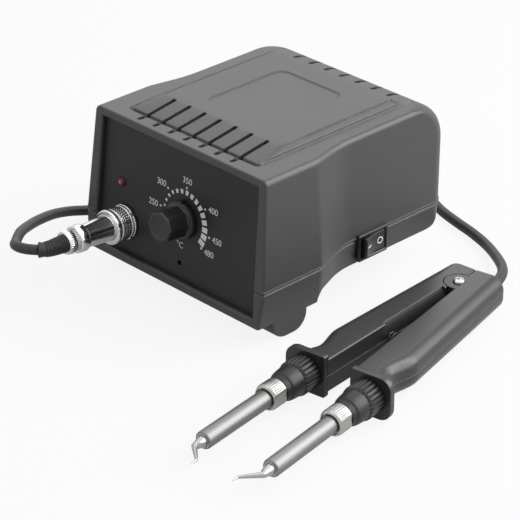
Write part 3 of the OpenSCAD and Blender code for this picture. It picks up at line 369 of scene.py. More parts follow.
def spark_grain():
    """Fine grain of an eroded mould, with slow clouds of tone and gloss."""
    tree, given = shader_group("spark_grain", {
        "Grain per metre": 1600.0, "Cloud per metre": 28.0, "Tone spread": 0.2})
    where = object_point(tree)
    fine = noise(tree, where, given["Grain per metre"], 2.0, 0.6)
    cloud = noise(tree, where, given["Cloud per metre"], 4.0, 0.6)
    both = calc(tree, "ADD", calc(tree, "MULTIPLY", fine, 0.6), calc(tree, "MULTIPLY", cloud, 0.4))
    tone = calc(tree, "MULTIPLY", calc(tree, "SUBTRACT", both, 0.5), given["Tone spread"])
    return put_out(tree, {"Height": fine, "Tone": calc(tree, "ADD", tone, 1.0),
                          "Gloss": calc(tree, "SUBTRACT", cloud, 0.5)})


def lathe_marks():
    """Lines across a turned piece, and smudges on it."""
    tree, given = shader_group("lathe_marks", {
        "Along": (0.0, 0.0, 1.0), "Lines per metre": 4000.0, "Smudge per metre": 60.0})
    where = object_point(tree)
    along = compare(tree, "DOT_PRODUCT", where, given["Along"])
    lines = calc(tree, "MULTIPLY", along, given["Lines per metre"])
    line = node(tree, "ShaderNodeTexNoise", {"W": lines, "Detail": 3.0, "Scale": 1.0}, noise_dimensions="1D")
    return put_out(tree, {"Height": line.outputs["Fac"],
                          "Smudge": noise(tree, where, given["Smudge per metre"], 4.0, 0.6)})


def edge_wear_and_highlight():
    """Mask of outer and inner edges, broken up so that only parts of an edge are rubbed; the finishes lighten the
    colour there, partly for rubbing and partly as a painted edge highlight.
    """
    tree, given = shader_group("edge_wear_and_highlight", {"Width": 0.0008, "Patches per metre": 120.0})
    soft = node(tree, "ShaderNodeBevel", {"Radius": given["Width"]}, samples=6).outputs["Normal"]
    flat = tree.nodes.new("ShaderNodeNewGeometry").outputs["Normal"]
    bent = calc(tree, "SUBTRACT", 1.0, compare(tree, "DOT_PRODUCT", soft, flat))
    edge = calc(tree, "MINIMUM", calc(tree, "MULTIPLY", bent, 9.0), 1.0)
    cloud = noise(tree, object_point(tree), given["Patches per metre"], 5.0, 0.65)
    patch = calc(tree, "MULTIPLY", calc(tree, "SUBTRACT", cloud, 0.36), 3.2)
    patch = calc(tree, "MAXIMUM", calc(tree, "MINIMUM", patch, 1.0), 0.0)
    return put_out(tree, {"Mask": calc(tree, "MULTIPLY", edge, patch), "Normal": soft})


SPARK_GRAIN, LATHE_MARKS, EDGE_WEAR_AND_HIGHLIGHT = spark_grain(), lathe_marks(), edge_wear_and_highlight()


# Finishes

GLOSS_SPREAD, SMUDGE_SPREAD = 0.12, 0.16
# Edge lightening of plastic and metal: partly rubbing, partly a painted edge highlight.
PLASTIC_RUB_HIGHLIGHT_LIFT, PLASTIC_RUB_ROUGH = 0.012, -0.1
METAL_DULL, METAL_BRIGHT, METAL_RUBBED_HIGHLIGHT, METAL_RUB_ROUGH, METAL_EDGE = 0.75, 1.1, 1.25, 0.1, 0.0002


def rgba(colour, gain=1.0, lift=0.0):
    return (*[min(1.0, c * gain + lift) for c in colour], 1)


def new_material(name):
    material = bpy.data.materials.new(name)
    material.use_nodes = True
    return material, material.node_tree, material.node_tree.nodes["Principled BSDF"]


def dress(tree, shader, colour, rough, height, depth, strength, wear_and_highlight):
    """Joins colour, roughness and bump to the shader; where edge settings are given, edges are lightened, partly for
    rubbing and partly as a painted highlight.
    """
    bump = {"Height": height, "Distance": depth, "Strength": strength}
    if wear_and_highlight:
        rub_highlight_colour, rub_rough, width = wear_and_highlight
        edge = node(tree, "ShaderNodeGroup", {"Width": width}, node_tree=EDGE_WEAR_AND_HIGHLIGHT).outputs
        # Painted edge highlight: the edge mask lightens the colour, partly for rubbing and partly as a painted
        # highlight.
        colour = mixed(tree, edge["Mask"], colour, rub_highlight_colour)
        rough = calc(tree, "ADD", rough, calc(tree, "MULTIPLY", edge["Mask"], rub_rough))
        bump["Normal"] = edge["Normal"]
    normal = node(tree, "ShaderNodeBump", bump).outputs["Normal"]
    feed(tree, shader, {"Base Color": colour, "Roughness": rough, "Normal": normal})


def moulded(name, colour, rough, grain=1600.0, depth=0.00004, strength=0.35, spread=0.35, rub_and_highlight=0.8,
            specular=0.5, edge=0.0004):
    material, tree, shader = new_material(name)
    sockets = {"Grain per metre": grain, "Tone spread": spread}
    grains = node(tree, "ShaderNodeGroup", sockets, node_tree=SPARK_GRAIN).outputs
    tint = mixed(tree, 1.0, rgba(colour), grains["Tone"], blend_type="MULTIPLY")
    gloss = calc(tree, "ADD", calc(tree, "MULTIPLY", grains["Gloss"], GLOSS_SPREAD), rough)
    # Lighter edges: partly rubbing, partly a painted edge highlight.
    wear_and_highlight = (rgba(colour, 1 + rub_and_highlight, PLASTIC_RUB_HIGHLIGHT_LIFT * rub_and_highlight), PLASTIC_RUB_ROUGH, edge) if rub_and_highlight else None
    shader.inputs["Specular IOR Level"].default_value = specular
    dress(tree, shader, tint, gloss, grains["Height"], depth, strength, wear_and_highlight)
    return material


def machined(name, colour, rough, along, lines, depth, strength):
    material, tree, shader = new_material(name)
    sockets = {"Along": along, "Lines per metre": lines}
    marks = node(tree, "ShaderNodeGroup", sockets, node_tree=LATHE_MARKS).outputs
    tint = mixed(tree, marks["Smudge"], rgba(colour, METAL_DULL), rgba(colour, METAL_BRIGHT))
    gloss = calc(tree, "ADD", calc(tree, "MULTIPLY", marks["Smudge"], SMUDGE_SPREAD), rough - SMUDGE_SPREAD / 2)
    # Lighter edges: partly rubbing, partly a painted edge highlight.
    wear_and_highlight = (rgba(colour, METAL_RUBBED_HIGHLIGHT), METAL_RUB_ROUGH, METAL_EDGE)
    shader.inputs["Metallic"].default_value = 1.0
    dress(tree, shader, tint, gloss, marks["Height"], depth, strength, wear_and_highlight)
    return material


def add_core(material, centre, radius, colour):
    """Pale core seen through a coloured lens."""
    tree = material.node_tree
    shader = tree.nodes["Principled BSDF"]
    far = calc(tree, "DIVIDE", compare(tree, "DISTANCE", object_point(tree), centre), radius)
    fade = calc(tree, "MAXIMUM", calc(tree, "SUBTRACT", 1.0, far), 0.0)
    lens = shader.inputs["Base Color"].links[0].from_socket
    feed(tree, shader, {"Base Color": mixed(tree, fade, lens, rgba(colour))})


TOOL_AXIS = (sind(HEADING), -cosd(HEADING), 0.0)
PANEL_AXIS = (0.0, -cosd(LEAN), sind(LEAN))

case_black = moulded("case_black", (0.040, 0.040, 0.042), 0.40, grain=1300, depth=0.00005, strength=0.5,
                     spread=0.45, specular=0.55, edge=0.0009)
panel_black = moulded("panel_black", (0.018, 0.018, 0.019), 0.44, grain=2600, depth=0.00002, strength=0.2,
                      specular=0.3)
handle_black = moulded("handle_black", (0.024, 0.024, 0.026), 0.28, grain=1700, strength=0.25, spread=0.4)
rubber_black = moulded("rubber_black", (0.012, 0.012, 0.013), 0.56, grain=2200, strength=0.3)
knob_black = moulded("knob_black", (0.010, 0.010, 0.011), 0.36, grain=2400, strength=0.12)
switch_black = moulded("switch_black", (0.014, 0.014, 0.015), 0.3, grain=2400, strength=0.06)
nose_black = moulded("nose_black", (0.014, 0.014, 0.015), 0.40, grain=2000, strength=0.15, rub_and_highlight=0.3, specular=0.4)
cord_black = moulded("cord_black", (0.009, 0.009, 0.010), 0.46, grain=1300, strength=0.15)
component_black = moulded("component_black", (0.03, 0.03, 0.034), 0.45)
white_plastic = moulded("white_plastic", (0.75, 0.75, 0.72), 0.45, spread=0.1)
trimmer_blue = moulded("trimmer_blue", (0.03, 0.10, 0.42), 0.35, spread=0.15)
board_green = moulded("board_green", (0.02, 0.17, 0.07), 0.35, grain=700, spread=0.5)
coil_tape = moulded("coil_tape", (0.55, 0.32, 0.08), 0.5, grain=500, spread=0.3)
heater_ceramic = moulded("heater_ceramic", (0.8, 0.78, 0.74), 0.6, spread=0.15)
print_white = moulded("print_white", (0.78, 0.78, 0.77), 0.5, grain=3000, depth=0.00001, strength=0.1,
                      spread=0.12, rub_and_highlight=0)
lamp_red = moulded("lamp_red", (0.10, 0.004, 0.012), 0.14, grain=900, strength=0.03, spread=0.4, specular=0.3)
plug_chrome = machined("plug_chrome", (0.72, 0.72, 0.72), 0.14, PANEL_AXIS, 5000, 0.000004, 0.15)
screw_steel = machined("screw_steel", (0.62, 0.62, 0.61), 0.26, (0, 0, 1), 3000, 0.00001, 0.2)
lamination = machined("lamination", (0.30, 0.30, 0.32), 0.45, (0, 1, 0), 2000, 0.0001, 0.7)
nut_nickel = machined("nut_nickel", (0.45, 0.445, 0.43), 0.22, TOOL_AXIS, 4200, 0.00001, 0.12)
barrel_steel = machined("barrel_steel", (0.23, 0.23, 0.228), 0.48, TOOL_AXIS, 2600, 0.000012, 0.25)
tip_chrome = machined("tip_chrome", (0.40, 0.40, 0.396), 0.17, TOOL_AXIS, 3200, 0.000006, 0.2)
spring_black = machined("spring_black", (0.10, 0.10, 0.10), 0.35, TOOL_AXIS, 2600, 0.000006, 0.2)

NODE_FINISHES = (
    (case_black, "upper_cover base_tray"), (panel_black, "front_panel"), (knob_black, "temperature_knob"),
    (rubber_black, "rear_feet mains_gland plug_boot tail_bush"), (switch_black, "switch_housing power_rocker"),
    (screw_steel, "case_screws potentiometer_body potentiometer_shaft potentiometer_nut transformer_frame "
                  "transformer_screws pivot_screw pivot_nut cord_arm_screws swing_arm_screws"),
    (lamp_red, "heating_lamp"), (white_plastic, "lamp_spacer trimmer_rotor"),
    (trimmer_blue, "calibration_trimmer"), (board_green, "control_board terminal_block"),
    (component_black, "power_triac filter_capacitor"), (lamination, "transformer_core"),
    (coil_tape, "transformer_coil"), (spring_black, "return_spring"),
    (plug_chrome, "panel_socket socket_nut coupling_ring plug_body plug_clamp_nut"),
    (cord_black, "cord_left cord_coil coil_tie cord_right"))
ARM_FINISHES = (
    (handle_black, "upper_shell lower_shell"), (nose_black, "collar nose"), (nut_nickel, "barrel_nut"),
    (barrel_steel, "barrel"), (heater_ceramic, "heater"), (tip_chrome, "tip"))
for finish, names in NODE_FINISHES:
    for name in names.split():
        paint(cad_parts[name].data, finish)
for finish, names in ARM_FINISHES:
    for name in names.split():
        for arm, place, body in ARMS:
            paint(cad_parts[f"{arm}_{name}"].data, finish)


# Camera at the photograph's viewpoint

CAMERA_AZIMUTH, CAMERA_ELEVATION, CAMERA_DISTANCE = 45.88, 28.36, 1304.08
CAMERA_TARGET, CAMERA_CLIP = (-1.71, -1.76, 0.61), 20
SENSOR_W, FOCAL_PIXELS, IMAGE_PIXELS = 36.0, 2517.49, 520


def aim(obj, place, back):
    obj.location = place
    obj.rotation_euler = back.to_track_quat("Z", "Y").to_euler()


def add_camera():
    level = cosd(CAMERA_ELEVATION)
    back = Vector((sind(CAMERA_AZIMUTH) * level, -cosd(CAMERA_AZIMUTH) * level, sind(CAMERA_ELEVATION)))
    data = bpy.data.cameras.new("camera")
    data.sensor_fit = "HORIZONTAL"
    data.sensor_width = SENSOR_W
    data.lens = SENSOR_W * FOCAL_PIXELS / IMAGE_PIXELS
    data.clip_end = CAMERA_CLIP
    camera = new_object("camera", data)
    aim(camera, STATION @ Vector(CAMERA_TARGET) + back * CAMERA_DISTANCE * MM, back)
    bpy.context.scene.camera = camera


add_camera()


# The cord: out of the boot, round the left side, a coil behind the station, and on to the handpiece

SOCKET_X, SOCKET_Z, CORD_R = -38.2, 31.5, 2.7
PLUG_DROOP, SOCKET_SEAT = 2.1, PANEL_RECESS + PANEL_T / 2
BOOT_STRAIGHT, BOOT_TURN, LOOP_R, LOOP_END, LOOP_DROP = 45.0, 40.0, 4.3 * CORD_R, 140.0, 3.0
BOOT_EXIT = BOOT_STRAIGHT + LOOP_R * math.radians(BOOT_TURN)
COIL_AT, COIL_R, LIE_Z = (-48.0, 108.0), 30.0, 2.8
COIL_TURNS, LANE_CHANGE, LANE_GAP = 3, 80, 0.1
BAND_AT, BAND_HALF, BAND_Z0, BAND_Z1, BAND_R, BAND_T, BAND_HALF_W = 200, 6.4, 0.4, 11.4, 2, 0.6, 2.5
TAIL_CORD_V, BUSH_OUT = 8.5, 3.0
ROUTE_FINE, ROUTE_STEP = 0.5, 2.5
ON_SOCKET = on_front(SOCKET_X, SOCKET_Z, SOCKET_SEAT) @ turn("X", PLUG_DROOP) @ shift(0, 0, SOCKET_SEAT)


def plug_line(along):
    """Point in the station's frame on the plug's middle line, which turns left in the boot."""
    bend = max(0.0, along - BOOT_STRAIGHT) / LOOP_R
    straight = min(along, BOOT_STRAIGHT)
    local = Vector((-LOOP_R * (1 - math.cos(bend)), 0, straight + LOOP_R * math.sin(bend)))
    return INTO_STATION @ (ON_SOCKET @ local)


def on_loop(degrees):
    drop = LOOP_DROP * ((degrees - BOOT_TURN) / (LOOP_END - BOOT_TURN)) ** 2
    return tuple(plug_line(BOOT_STRAIGHT + LOOP_R * math.radians(degrees)) - Vector((0, 0, drop)))


def behind_tail(out):
    return tuple(INTO_STATION @ (CORD_ARM @ Vector((-TAIL_L - BUSH_OUT - out, TAIL_CORD_V, MID_Z))))


LEFT_ROUTE = [on_loop(a) for a in (BOOT_TURN, 49, 62, 75, 88, 101, 114, 127, LOOP_END)] + [
    (-67.9, -106, 29.6), (-80.4, -89.6, 23.5), (-91.5, -72.7, 17), (-99.9, -56.4, 11), (-103.3, -42.7, 6.3),
    (-102.4, -33.1, 3.6), (-98.3, -25.3, LIE_Z), (-93, -13, LIE_Z), (-88.4, 0, LIE_Z), (-85.2, 16, LIE_Z),
    (-83.2, 34, LIE_Z), (-81.8, 52, LIE_Z), (-81, 72, LIE_Z), (-80.7, 90, LIE_Z)]
RIGHT_ROUTE = [
    (-34, 138.9, 7.7), (-26, 136.9, 6.2), (-18, 133.6, 4.5), (-6, 127, 3), (6, 117.5, LIE_Z), (17, 109.5, LIE_Z),
    (29, 104, LIE_Z), (43, 100, LIE_Z), (58, 96.4, LIE_Z), (72, 91.6, LIE_Z), (87, 82.5, 4.6), (98.5, 73, 7.2),
    (106.5, 63.5, 9.8), behind_tail(4), behind_tail(CLEAR)]


def coil_route():
    """Outer low, inner low and inner high turn, then out along the outer high lane."""
    inner, high = COIL_R - CORD_R - LANE_GAP, LIE_Z + 2 * CORD_R + LANE_GAP
    lanes = [(COIL_R + CORD_R, LIE_Z), (inner, LIE_Z), (inner, high), (COIL_R + CORD_R + LANE_GAP, high)]
    points = []
    for a in range(0, COIL_TURNS * 360 + LANE_CHANGE + 1, 10):
        lane = a // 360
        r, z = lanes[lane]
        if lane < COIL_TURNS:
            t = smooth((a % 360 - 360 + LANE_CHANGE) / LANE_CHANGE)
            r += (lanes[lane + 1][0] - r) * t
            z += (lanes[lane + 1][1] - z) * t
        points.append((COIL_AT[0] + r * cosd(180 - a), COIL_AT[1] + r * sind(180 - a), z))
    return points


def between(p, q, t0, t1, t):
    return (t1 - t) / (t1 - t0) * p + (t - t0) / (t1 - t0) * q


def through(points):
    """Even points along a smooth curve through the given ones."""
    p = [Vector(q) for q in points]
    p = [2 * p[0] - p[1]] + p + [2 * p[-1] - p[-2]]
    dense = []
    for i in range(1, len(p) - 2):
        a, b, c, d = p[i - 1:i + 3]
        t0 = 0.0
        t1 = math.sqrt((b - a).length)
        t2 = t1 + math.sqrt((c - b).length)
        t3 = t2 + math.sqrt((d - c).length)
        n = max(2, int((c - b).length / ROUTE_FINE))
        for k in range(n):
            t = t1 + (t2 - t1) * k / n
            a1, a2, a3 = between(a, b, t0, t1, t), between(b, c, t1, t2, t), between(c, d, t2, t3, t)
            b1, b2 = between(a1, a2, t0, t2, t), between(a2, a3, t1, t3, t)
            dense.append(between(b1, b2, t1, t2, t))
    dense.append(p[-2])
    even, walked = [dense[0]], 0.0
    for a, b in zip(dense, dense[1:]):
        walked += (b - a).length
        if walked >= ROUTE_STEP:
            even.append(b)
            walked = 0.0
    if (even[-1] - dense[-1]).length < 0.5 * ROUTE_STEP:
        even.pop()
    return even + [dense[-1]]


def tube_rings(points, radii, sides):
    """Rings round a line, with one radius for all points or one for each."""
    rings, side = [], None
    for i, p in enumerate(points):
        t = (points[min(len(points) - 1, i + 1)] - points[max(0, i - 1)]).normalized()
        if side is None:
            side = t.cross(Vector((0, 0, 1))).normalized()
        side = (side - t * side.dot(t)).normalized()
        up = side.cross(t)
        r = radii[i] if isinstance(radii, list) else radii
        angles = [2 * math.pi * k / sides for k in range(sides)]
        rings.append([tuple(p + r * (math.cos(a) * side + math.sin(a) * up)) for a in angles])
    return rings


def coil_band():
    def ring(grow, y):
        half = BAND_HALF + grow
        return [(x, y, z) for x, z in rounded(half, half, BAND_Z0 - grow, BAND_Z1 + grow, BAND_R, 5)]
    rows = ((0, -BAND_HALF_W), (BAND_T, -BAND_HALF_W), (BAND_T, BAND_HALF_W), (0, BAND_HALF_W), (0, -BAND_HALF_W))
    place = STATION @ shift(*COIL_AT, 0) @ turn("Z", BAND_AT) @ shift(COIL_R, 0, 0)
    return loft("coil_band", [ring(*row) for row in rows], place, rubber_black, cap=False)


def add_cord():
    path = through(LEFT_ROUTE + coil_route() + RIGHT_ROUTE)
    cord = loft("handpiece_cord", tube_rings(path, CORD_R, 14), STATION, cord_black, 50)
    band = coil_band()
    worn(band, "station", "cord_black", "coil_tie")
    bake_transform(cord)
    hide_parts("cord_left", "cord_coil", "cord_right")


add_cord()


# Station case: drafted, waisted cover and base with a seam between them

WAIST_MARKS = ([WAIST_SOFT * k / 4 for k in range(-4, 5)] + [0.15, 0.25, 0.35, WAIST_KNEE]
               + [WAIST_KNEE + (1 - WAIST_KNEE) * k / 9 for k in range(1, 10)])
SIDE_MARKS = ([WAIST_Y0 - 18, WAIST_Y0 - 8] + [WAIST_Y0 + WAIST_L * t for t in WAIST_MARKS]
              + [WAIST_Y0 + WAIST_L + 8, WAIST_Y0 + WAIST_L + 20])


def draft_at(z):
    if z >= SEAM_Z:
        return COVER_DRAFT * (z - SEAM_Z) / (RIM_Z - SEAM_Z)
    return BASE_DRAFT * (SEAM_Z - z) / (SEAM_Z - BELLY_Z)


def waist(t):
    """Waist curve from 0 to 1: a soft corner, an even run and a fading end."""
    rate = 2 / (1 + WAIST_KNEE)
    if t <= -WAIST_SOFT:
        return 0.0
    if t < WAIST_SOFT:
        return rate * (t + WAIST_SOFT) ** 2 / (4 * WAIST_SOFT)
    if t < WAIST_KNEE:
        return rate * t
    return rate * (t - (t - WAIST_KNEE) ** 2 / (2 * (1 - WAIST_KNEE))) if t < 1 else 1.0


def side_x(y, z):
    step = WAIST_STEP + (WAIST_TOP_STEP - WAIST_STEP) * max(0.0, z - SEAM_Z) / (RIM_Z - SEAM_Z)
    return CASE_W / 2 - step * waist((y - WAIST_Y0) / WAIST_L) - draft_at(z)


def round_in(d, r):
    return r - math.sqrt(max(0.0, r * r - min(d, r) ** 2)) if d > 0 else 0.0


def case_ring(z, inset, front_inset, top, r_edge, r_rear, extra):
    e = round_in(z - (top - r_edge), r_edge) + extra
    yf = front_y(z) + front_inset + round_in(z - (top - FRONT_EDGE_R), FRONT_EDGE_R) + extra
    yr = REAR_Y - inset - round_in(z - (top - r_rear), r_rear) - extra
    fr, cr = FRONT_CORNER_R, CORNER_R - inset

    def side(y):
        return side_x(y, z) - inset - e
    right = arc(side(yf) - fr, yf + fr, fr, -90, 0, 4) + [(side(y), y) for y in SIDE_MARKS]
    return at_height(mirrored(right + arc(side(REAR_Y) - cr, yr - cr, cr, 0, 90, 10)), z)


SEAM_BEAD = ((0.12, 0.55), (0.3, 0.05), (0.6, -0.25), (1.0, -0.35), (1.4, -0.22), (1.8, 0.0))
LEAST_LEVEL = 0.012


def cover_solid(name, inset, front_inset):
    top = RIM_Z - inset
    r_edge, r_rear = max(0.8, EDGE_R - inset), REAR_R - inset

    def quarter(r, steps):
        return {top - r * (1 - sind(90 * k / steps)) for k in range(steps + 1)}
    low = [(-1.0, 0.0), (0.0, 0.0)] if inset else SEAM_BEAD
    rounds = quarter(r_rear, 10) | quarter(r_edge, 8) | quarter(FRONT_EDGE_R, 5)
    heights = sorted(rounds | {SEAM_Z + 14, SEAM_Z + 28})
    kept = [h for i, h in enumerate(heights) if i == 0 or h - heights[i - 1] > LEAST_LEVEL]
    levels = [(SEAM_Z + up, extra) for up, extra in low] + [(z, 0.0) for z in kept]
    return loft(name, [case_ring(z, inset, front_inset, top, r_edge, r_rear, extra) for z, extra in levels])


PLATEAU_X, PLATEAU_SLOPE = CASE_W / 2 - 18.5, 4.5
PLATEAU_Y0, PLATEAU_RAMP = front_y(RIM_Z) + 9.4, 19.5
PLATEAU_Y1, PLATEAU_TOP = REAR_Y - REAR_R, RIM_Z + PLATEAU_H


def plateau_solid(name, inset):
    """Raised top, from rows of the way up its slopes, the height there and the rear edge's step back."""
    def ring(grow, rise, back):
        half = PLATEAU_X - PLATEAU_SLOPE * grow - inset
        y0 = PLATEAU_Y0 + PLATEAU_RAMP * grow + inset
        y1 = PLATEAU_Y1 - PLATEAU_SLOPE * grow - inset - back
        return at_height(rounded(half, half, y0, y1, 2.5 + 2.5 * max(0, grow), 6), RIM_Z - inset + rise)
    rows = [(-0.10, -0.6, 0), (-0.02, -0.03, 0), (0.05, 0.06, 0)]
    rows += [(g, PLATEAU_H * up, back) for g, up, back in (
        (0.15, 0.15, 0), (0.5, 0.5, 0), (0.85, 0.85, 0), (0.93, 0.925, 0), (0.985, 0.966, 0.5), (1.06, 0.99, 1.1),
        (1.16, 1, 2.2))]
    return loft(name, [ring(*row) for row in rows])


WINDOW_Z0, WINDOW_Z1 = BELLY_Z + 5.2, RIM_Z - 4.5
PANEL_FOOT = shift(0, front_y(BELLY_Z), BELLY_Z) @ turn("X", 90 - LEAN)
WINDOW_LIP = ((0, -PANEL_RECESS - 1, 0.8), (0, -1.1, 0.8), (0.12, -0.75, 0.9), (0.4, -0.35, 1.1), (0.95, 0.02, 1.5),
              (1.4, 0.4, 1.8), (1.4, 6, 1.8))


def window_cutter():
    h0, h1 = [side_x(FOOT_Y, z) - RIM_SIDE for z in (WINDOW_Z0, WINDOW_Z1)]
    s0, s1 = [(z - BELLY_Z) / cosd(LEAN) for z in (WINDOW_Z0, WINDOW_Z1)]
    return loft("window_cut", [at_height(rounded(h0 + grow, h1 + grow, s0 - grow, s1 + grow, r, 4), out)
                               for grow, out, r in WINDOW_LIP], PANEL_FOOT)


# Node trees that repeat a small piece round a ring or along a line

def repeat_tree(name, inputs):
    tree = bpy.data.node_groups.new(name, "GeometryNodeTree")
    tree.interface.new_socket("Geometry", in_out="INPUT", socket_type="NodeSocketGeometry")
    add_inputs(tree, inputs)
    tree.interface.new_socket("Finish", in_out="INPUT", socket_type="NodeSocketMaterial")
    tree.interface.new_socket("Geometry", in_out="OUTPUT", socket_type="NodeSocketGeometry")
    given = tree.nodes.new("NodeGroupInput").outputs
    place = node(tree, "GeometryNodeInstanceOnPoints", {"Instance": given["Geometry"]})
    real = node(tree, "GeometryNodeRealizeInstances", {"Geometry": place.outputs["Instances"]})
    finish = node(tree, "GeometryNodeSetMaterial", {
        "Geometry": real.outputs["Geometry"], "Material": given["Finish"]})
    node(tree, "NodeGroupOutput", {"Geometry": finish.outputs["Geometry"]})
    return tree, given, place


def ring_repeat():
    tree, given, place = repeat_tree("ring_repeat", {
        "Count": 12, "First angle": 0.0, "Step angle": 0.5, "Radius": 10.0, "Radius gain": 0.0,
        "First size": 1.0, "Size gain": 0.0, "First width": 1.0, "Width gain": 0.0})
    index = tree.nodes.new("GeometryNodeInputIndex").outputs[0]

    def growing(first, gain):
        return calc(tree, "ADD", given[first], calc(tree, "MULTIPLY", index, given[gain]))

    def vector(x, y, z):
        return node(tree, "ShaderNodeCombineXYZ", {0: x, 1: y, 2: z}).outputs[0]
    angle, radius = growing("First angle", "Step angle"), growing("Radius", "Radius gain")
    x, y = [calc(tree, "MULTIPLY", radius, calc(tree, part, angle)) for part in ("COSINE", "SINE")]
    points = node(tree, "GeometryNodePoints", {"Count": given["Count"], "Position": vector(x, y, 0.0)})
    size = vector(growing("First size", "Size gain"), growing("First width", "Width gain"), 1.0)
    feed(tree, place, {"Points": points.outputs[0], "Rotation": vector(0.0, 0.0, angle), "Scale": size})
    return tree


def row_repeat():
    tree, given, place = repeat_tree("row_repeat", {
        "Count": 7, "First": (0.0, 0.0, 0.0), "Step": (1.0, 0.0, 0.0)})
    line = node(tree, "GeometryNodeMeshLine", {
        "Count": given["Count"], "Start Location": given["First"], "Offset": given["Step"]})
    feed(tree, place, {"Points": line.outputs["Mesh"]})
    return tree


RING_REPEAT, ROW_REPEAT = ring_repeat(), row_repeat()


def repeated(unit, tree, **values):
    """Turns one small piece into the plain mesh of its repeats."""
    step = unit.modifiers.new("repeat", "NODES")
    step.node_group = tree
    wanted = {key.replace("_", " "): value for key, value in values.items()}
    for item in tree.interface.items_tree:
        if item.in_out == "INPUT" and item.name in wanted:
            step[item.identifier] = wanted[item.name]
    return applied(unit)


SLOT_COUNT, SLOT_PITCH, SLOT_R = 7, 11.1, 1.4
TRAY_HALF, TRAY_R = 22.0, 5.0
TRAY_LIP = ((-0.5, -0.6), (-0.1, -0.56), (0.15, -0.44), (0.5, -0.24), (0.95, -0.08), (1.5, 0.02), (1.6, 3))
SWITCH_L, SWITCH_H, SWITCH_Y, SWITCH_Z, SWITCH_LAP, SWITCH_CUT = 21.0, 15.0, 19.6, 25.4, 0.9, 14
SWITCH_X = side_x(REAR_Y, SEAM_Z)
GLAND_X, GLAND_Z, GLAND_R = -30, 47, 6.05


def slot_cutter(name, y0, y1, z0, z1):
    outline = arc(0, y1 - SLOT_R, SLOT_R, 0, 180, 8) + arc(0, y0 + SLOT_R, SLOT_R, 180, 360, 8)
    unit = loft(name, [at_height(outline, z) for z in (z0, z1)])
    return repeated(unit, ROW_REPEAT, Count=SLOT_COUNT, First=(-SLOT_PITCH * (SLOT_COUNT - 1) / 2, 0.0, 0.0),
                    Step=(SLOT_PITCH, 0.0, 0.0), Finish=case_black)


def tray_cutter():
    y0, y1 = PLATEAU_Y0 + PLATEAU_RAMP + 10, PLATEAU_Y1 - PLATEAU_SLOPE - 15

    def ring(grow, rise):
        half = TRAY_HALF + grow
        return at_height(rounded(half, half, y0 - grow, y1 + grow, TRAY_R + grow, 6), PLATEAU_TOP + rise)
    return loft("tray_cut", [ring(*row) for row in TRAY_LIP])


def switch_cutter():
    hl, hh = SWITCH_L / 2 - SWITCH_LAP, SWITCH_H / 2 - SWITCH_LAP
    return block("switch_cut", (SWITCH_X - SWITCH_CUT, SWITCH_Y - hl, SWITCH_Z - hh),
                 (SWITCH_X + SWITCH_CUT, SWITCH_Y + hl, SWITCH_Z + hh))


def foot_groove():
    """Groove along the foot of the raised top, which runs out where the rear edge rounds off."""
    def ring(grow, rise):
        half = PLATEAU_X + grow
        return at_height(rounded(half, half, PLATEAU_Y0 - grow, PLATEAU_Y1 + 9 + grow, 3.0 + grow, 6), RIM_Z + rise)
    rows = ((0.6, -1.2), (1.5, 0.6), (-1.5, 0.6), (-0.6, -1.2), (0.6, -1.2))
    return loft("foot_groove", [ring(*row) for row in rows], cap=False)


def edge_groove(name, side):
    x = side * (PLATEAU_X - PLATEAU_SLOPE)
    ends = (PLATEAU_Y0 + PLATEAU_RAMP + 1, PLATEAU_Y1 - PLATEAU_SLOPE - 0.5)
    section = ((-0.45, -1.0), (0.45, -1.0), (0.9, 1), (-0.9, 1))
    return loft(name, [[(x + dx, y, PLATEAU_TOP + dz) for dx, dz in section] for y in ends])


def add_cover():
    cover = cover_solid("case_cover", 0, 0)
    carve(cover, plateau_solid("raised_top", 0), add=True)
    carve(cover, cover_solid("cover_hollow", WALL, PANEL_RECESS), plateau_solid("top_hollow", WALL), window_cutter(),
          slot_cutter("front_vents", front_y(RIM_Z) + 3.2, PLATEAU_Y0 + PLATEAU_RAMP, RIM_Z - WALL - 2, RIM_Z + 12),
          slot_cutter("rear_vents", PLATEAU_Y1 + 0.5, PLATEAU_Y1 + 13, RIM_Z - 8, RIM_Z + 12),
          tray_cutter(), switch_cutter(), foot_groove(), edge_groove("left_groove", -1), edge_groove("right_groove", 1),
          lathe("gland_cut", [(0, -3), (GLAND_R, -3), (GLAND_R, 9), (0, 9)],
                shift(GLAND_X, REAR_Y + 5, GLAND_Z) @ turn("X", 90)))
    shaded(cover, case_black, 28, STATION)
    worn(cover, "station", "case_black", "upper_cover")


FRONT_FOOT_Y0, FRONT_FOOT_L, FRONT_FOOT_R, FOOT_IN = FOOT_Y + 10.5, 23.5, 9.0, 14.0
SCREW_POSTS = [(-40, FOOT_Y + 26, BELLY_Z), (40, FOOT_Y + 26, BELLY_Z),
               (-43, REAR_Y - 24, REAR_BELLY_Z), (43, REAR_Y - 24, REAR_BELLY_Z)]
BASE_LEVELS = [(BELLY_Z, 1.2), (BELLY_Z + 0.18, 0.72), (BELLY_Z + 0.6, 0.26), (BELLY_Z + 1.2, 0.0),
               (BELLY_Z + 8, 0.0), (SEAM_Z - 1.5, 0.0), (SEAM_Z - 1.0, 0.1), (SEAM_Z - 0.5, 0.4), (SEAM_Z - 0.12, 0.9)]
BASE_HOLLOW_LEVELS = [(BELLY_Z + WALL, 0.0), (SEAM_Z, 0.0), (SEAM_Z + 1, 0.0)]


def belly_cutter(name, t):
    """Room under the raised rear of the base, or its floor a wall's thickness further in."""
    step_y, z, end_y = WAIST_Y0 - 1 - t, REAR_BELLY_Z + t, REAR_Y - t
    rr, fillet = SEAM_Z - REAR_BELLY_Z - 1 - t, BELLY_FILLET
    outline = [(step_y, -1)] + arc(step_y + fillet, z - fillet, fillet, 180, 90, 10)
    outline += arc(end_y - rr, z + rr, rr, -90, 0, 12) + [(end_y + CASE_D, z + rr), (end_y + CASE_D, -1)]
    return loft(name, [[(x, y, z) for y, z in outline] for x in (-CASE_W, CASE_W)])


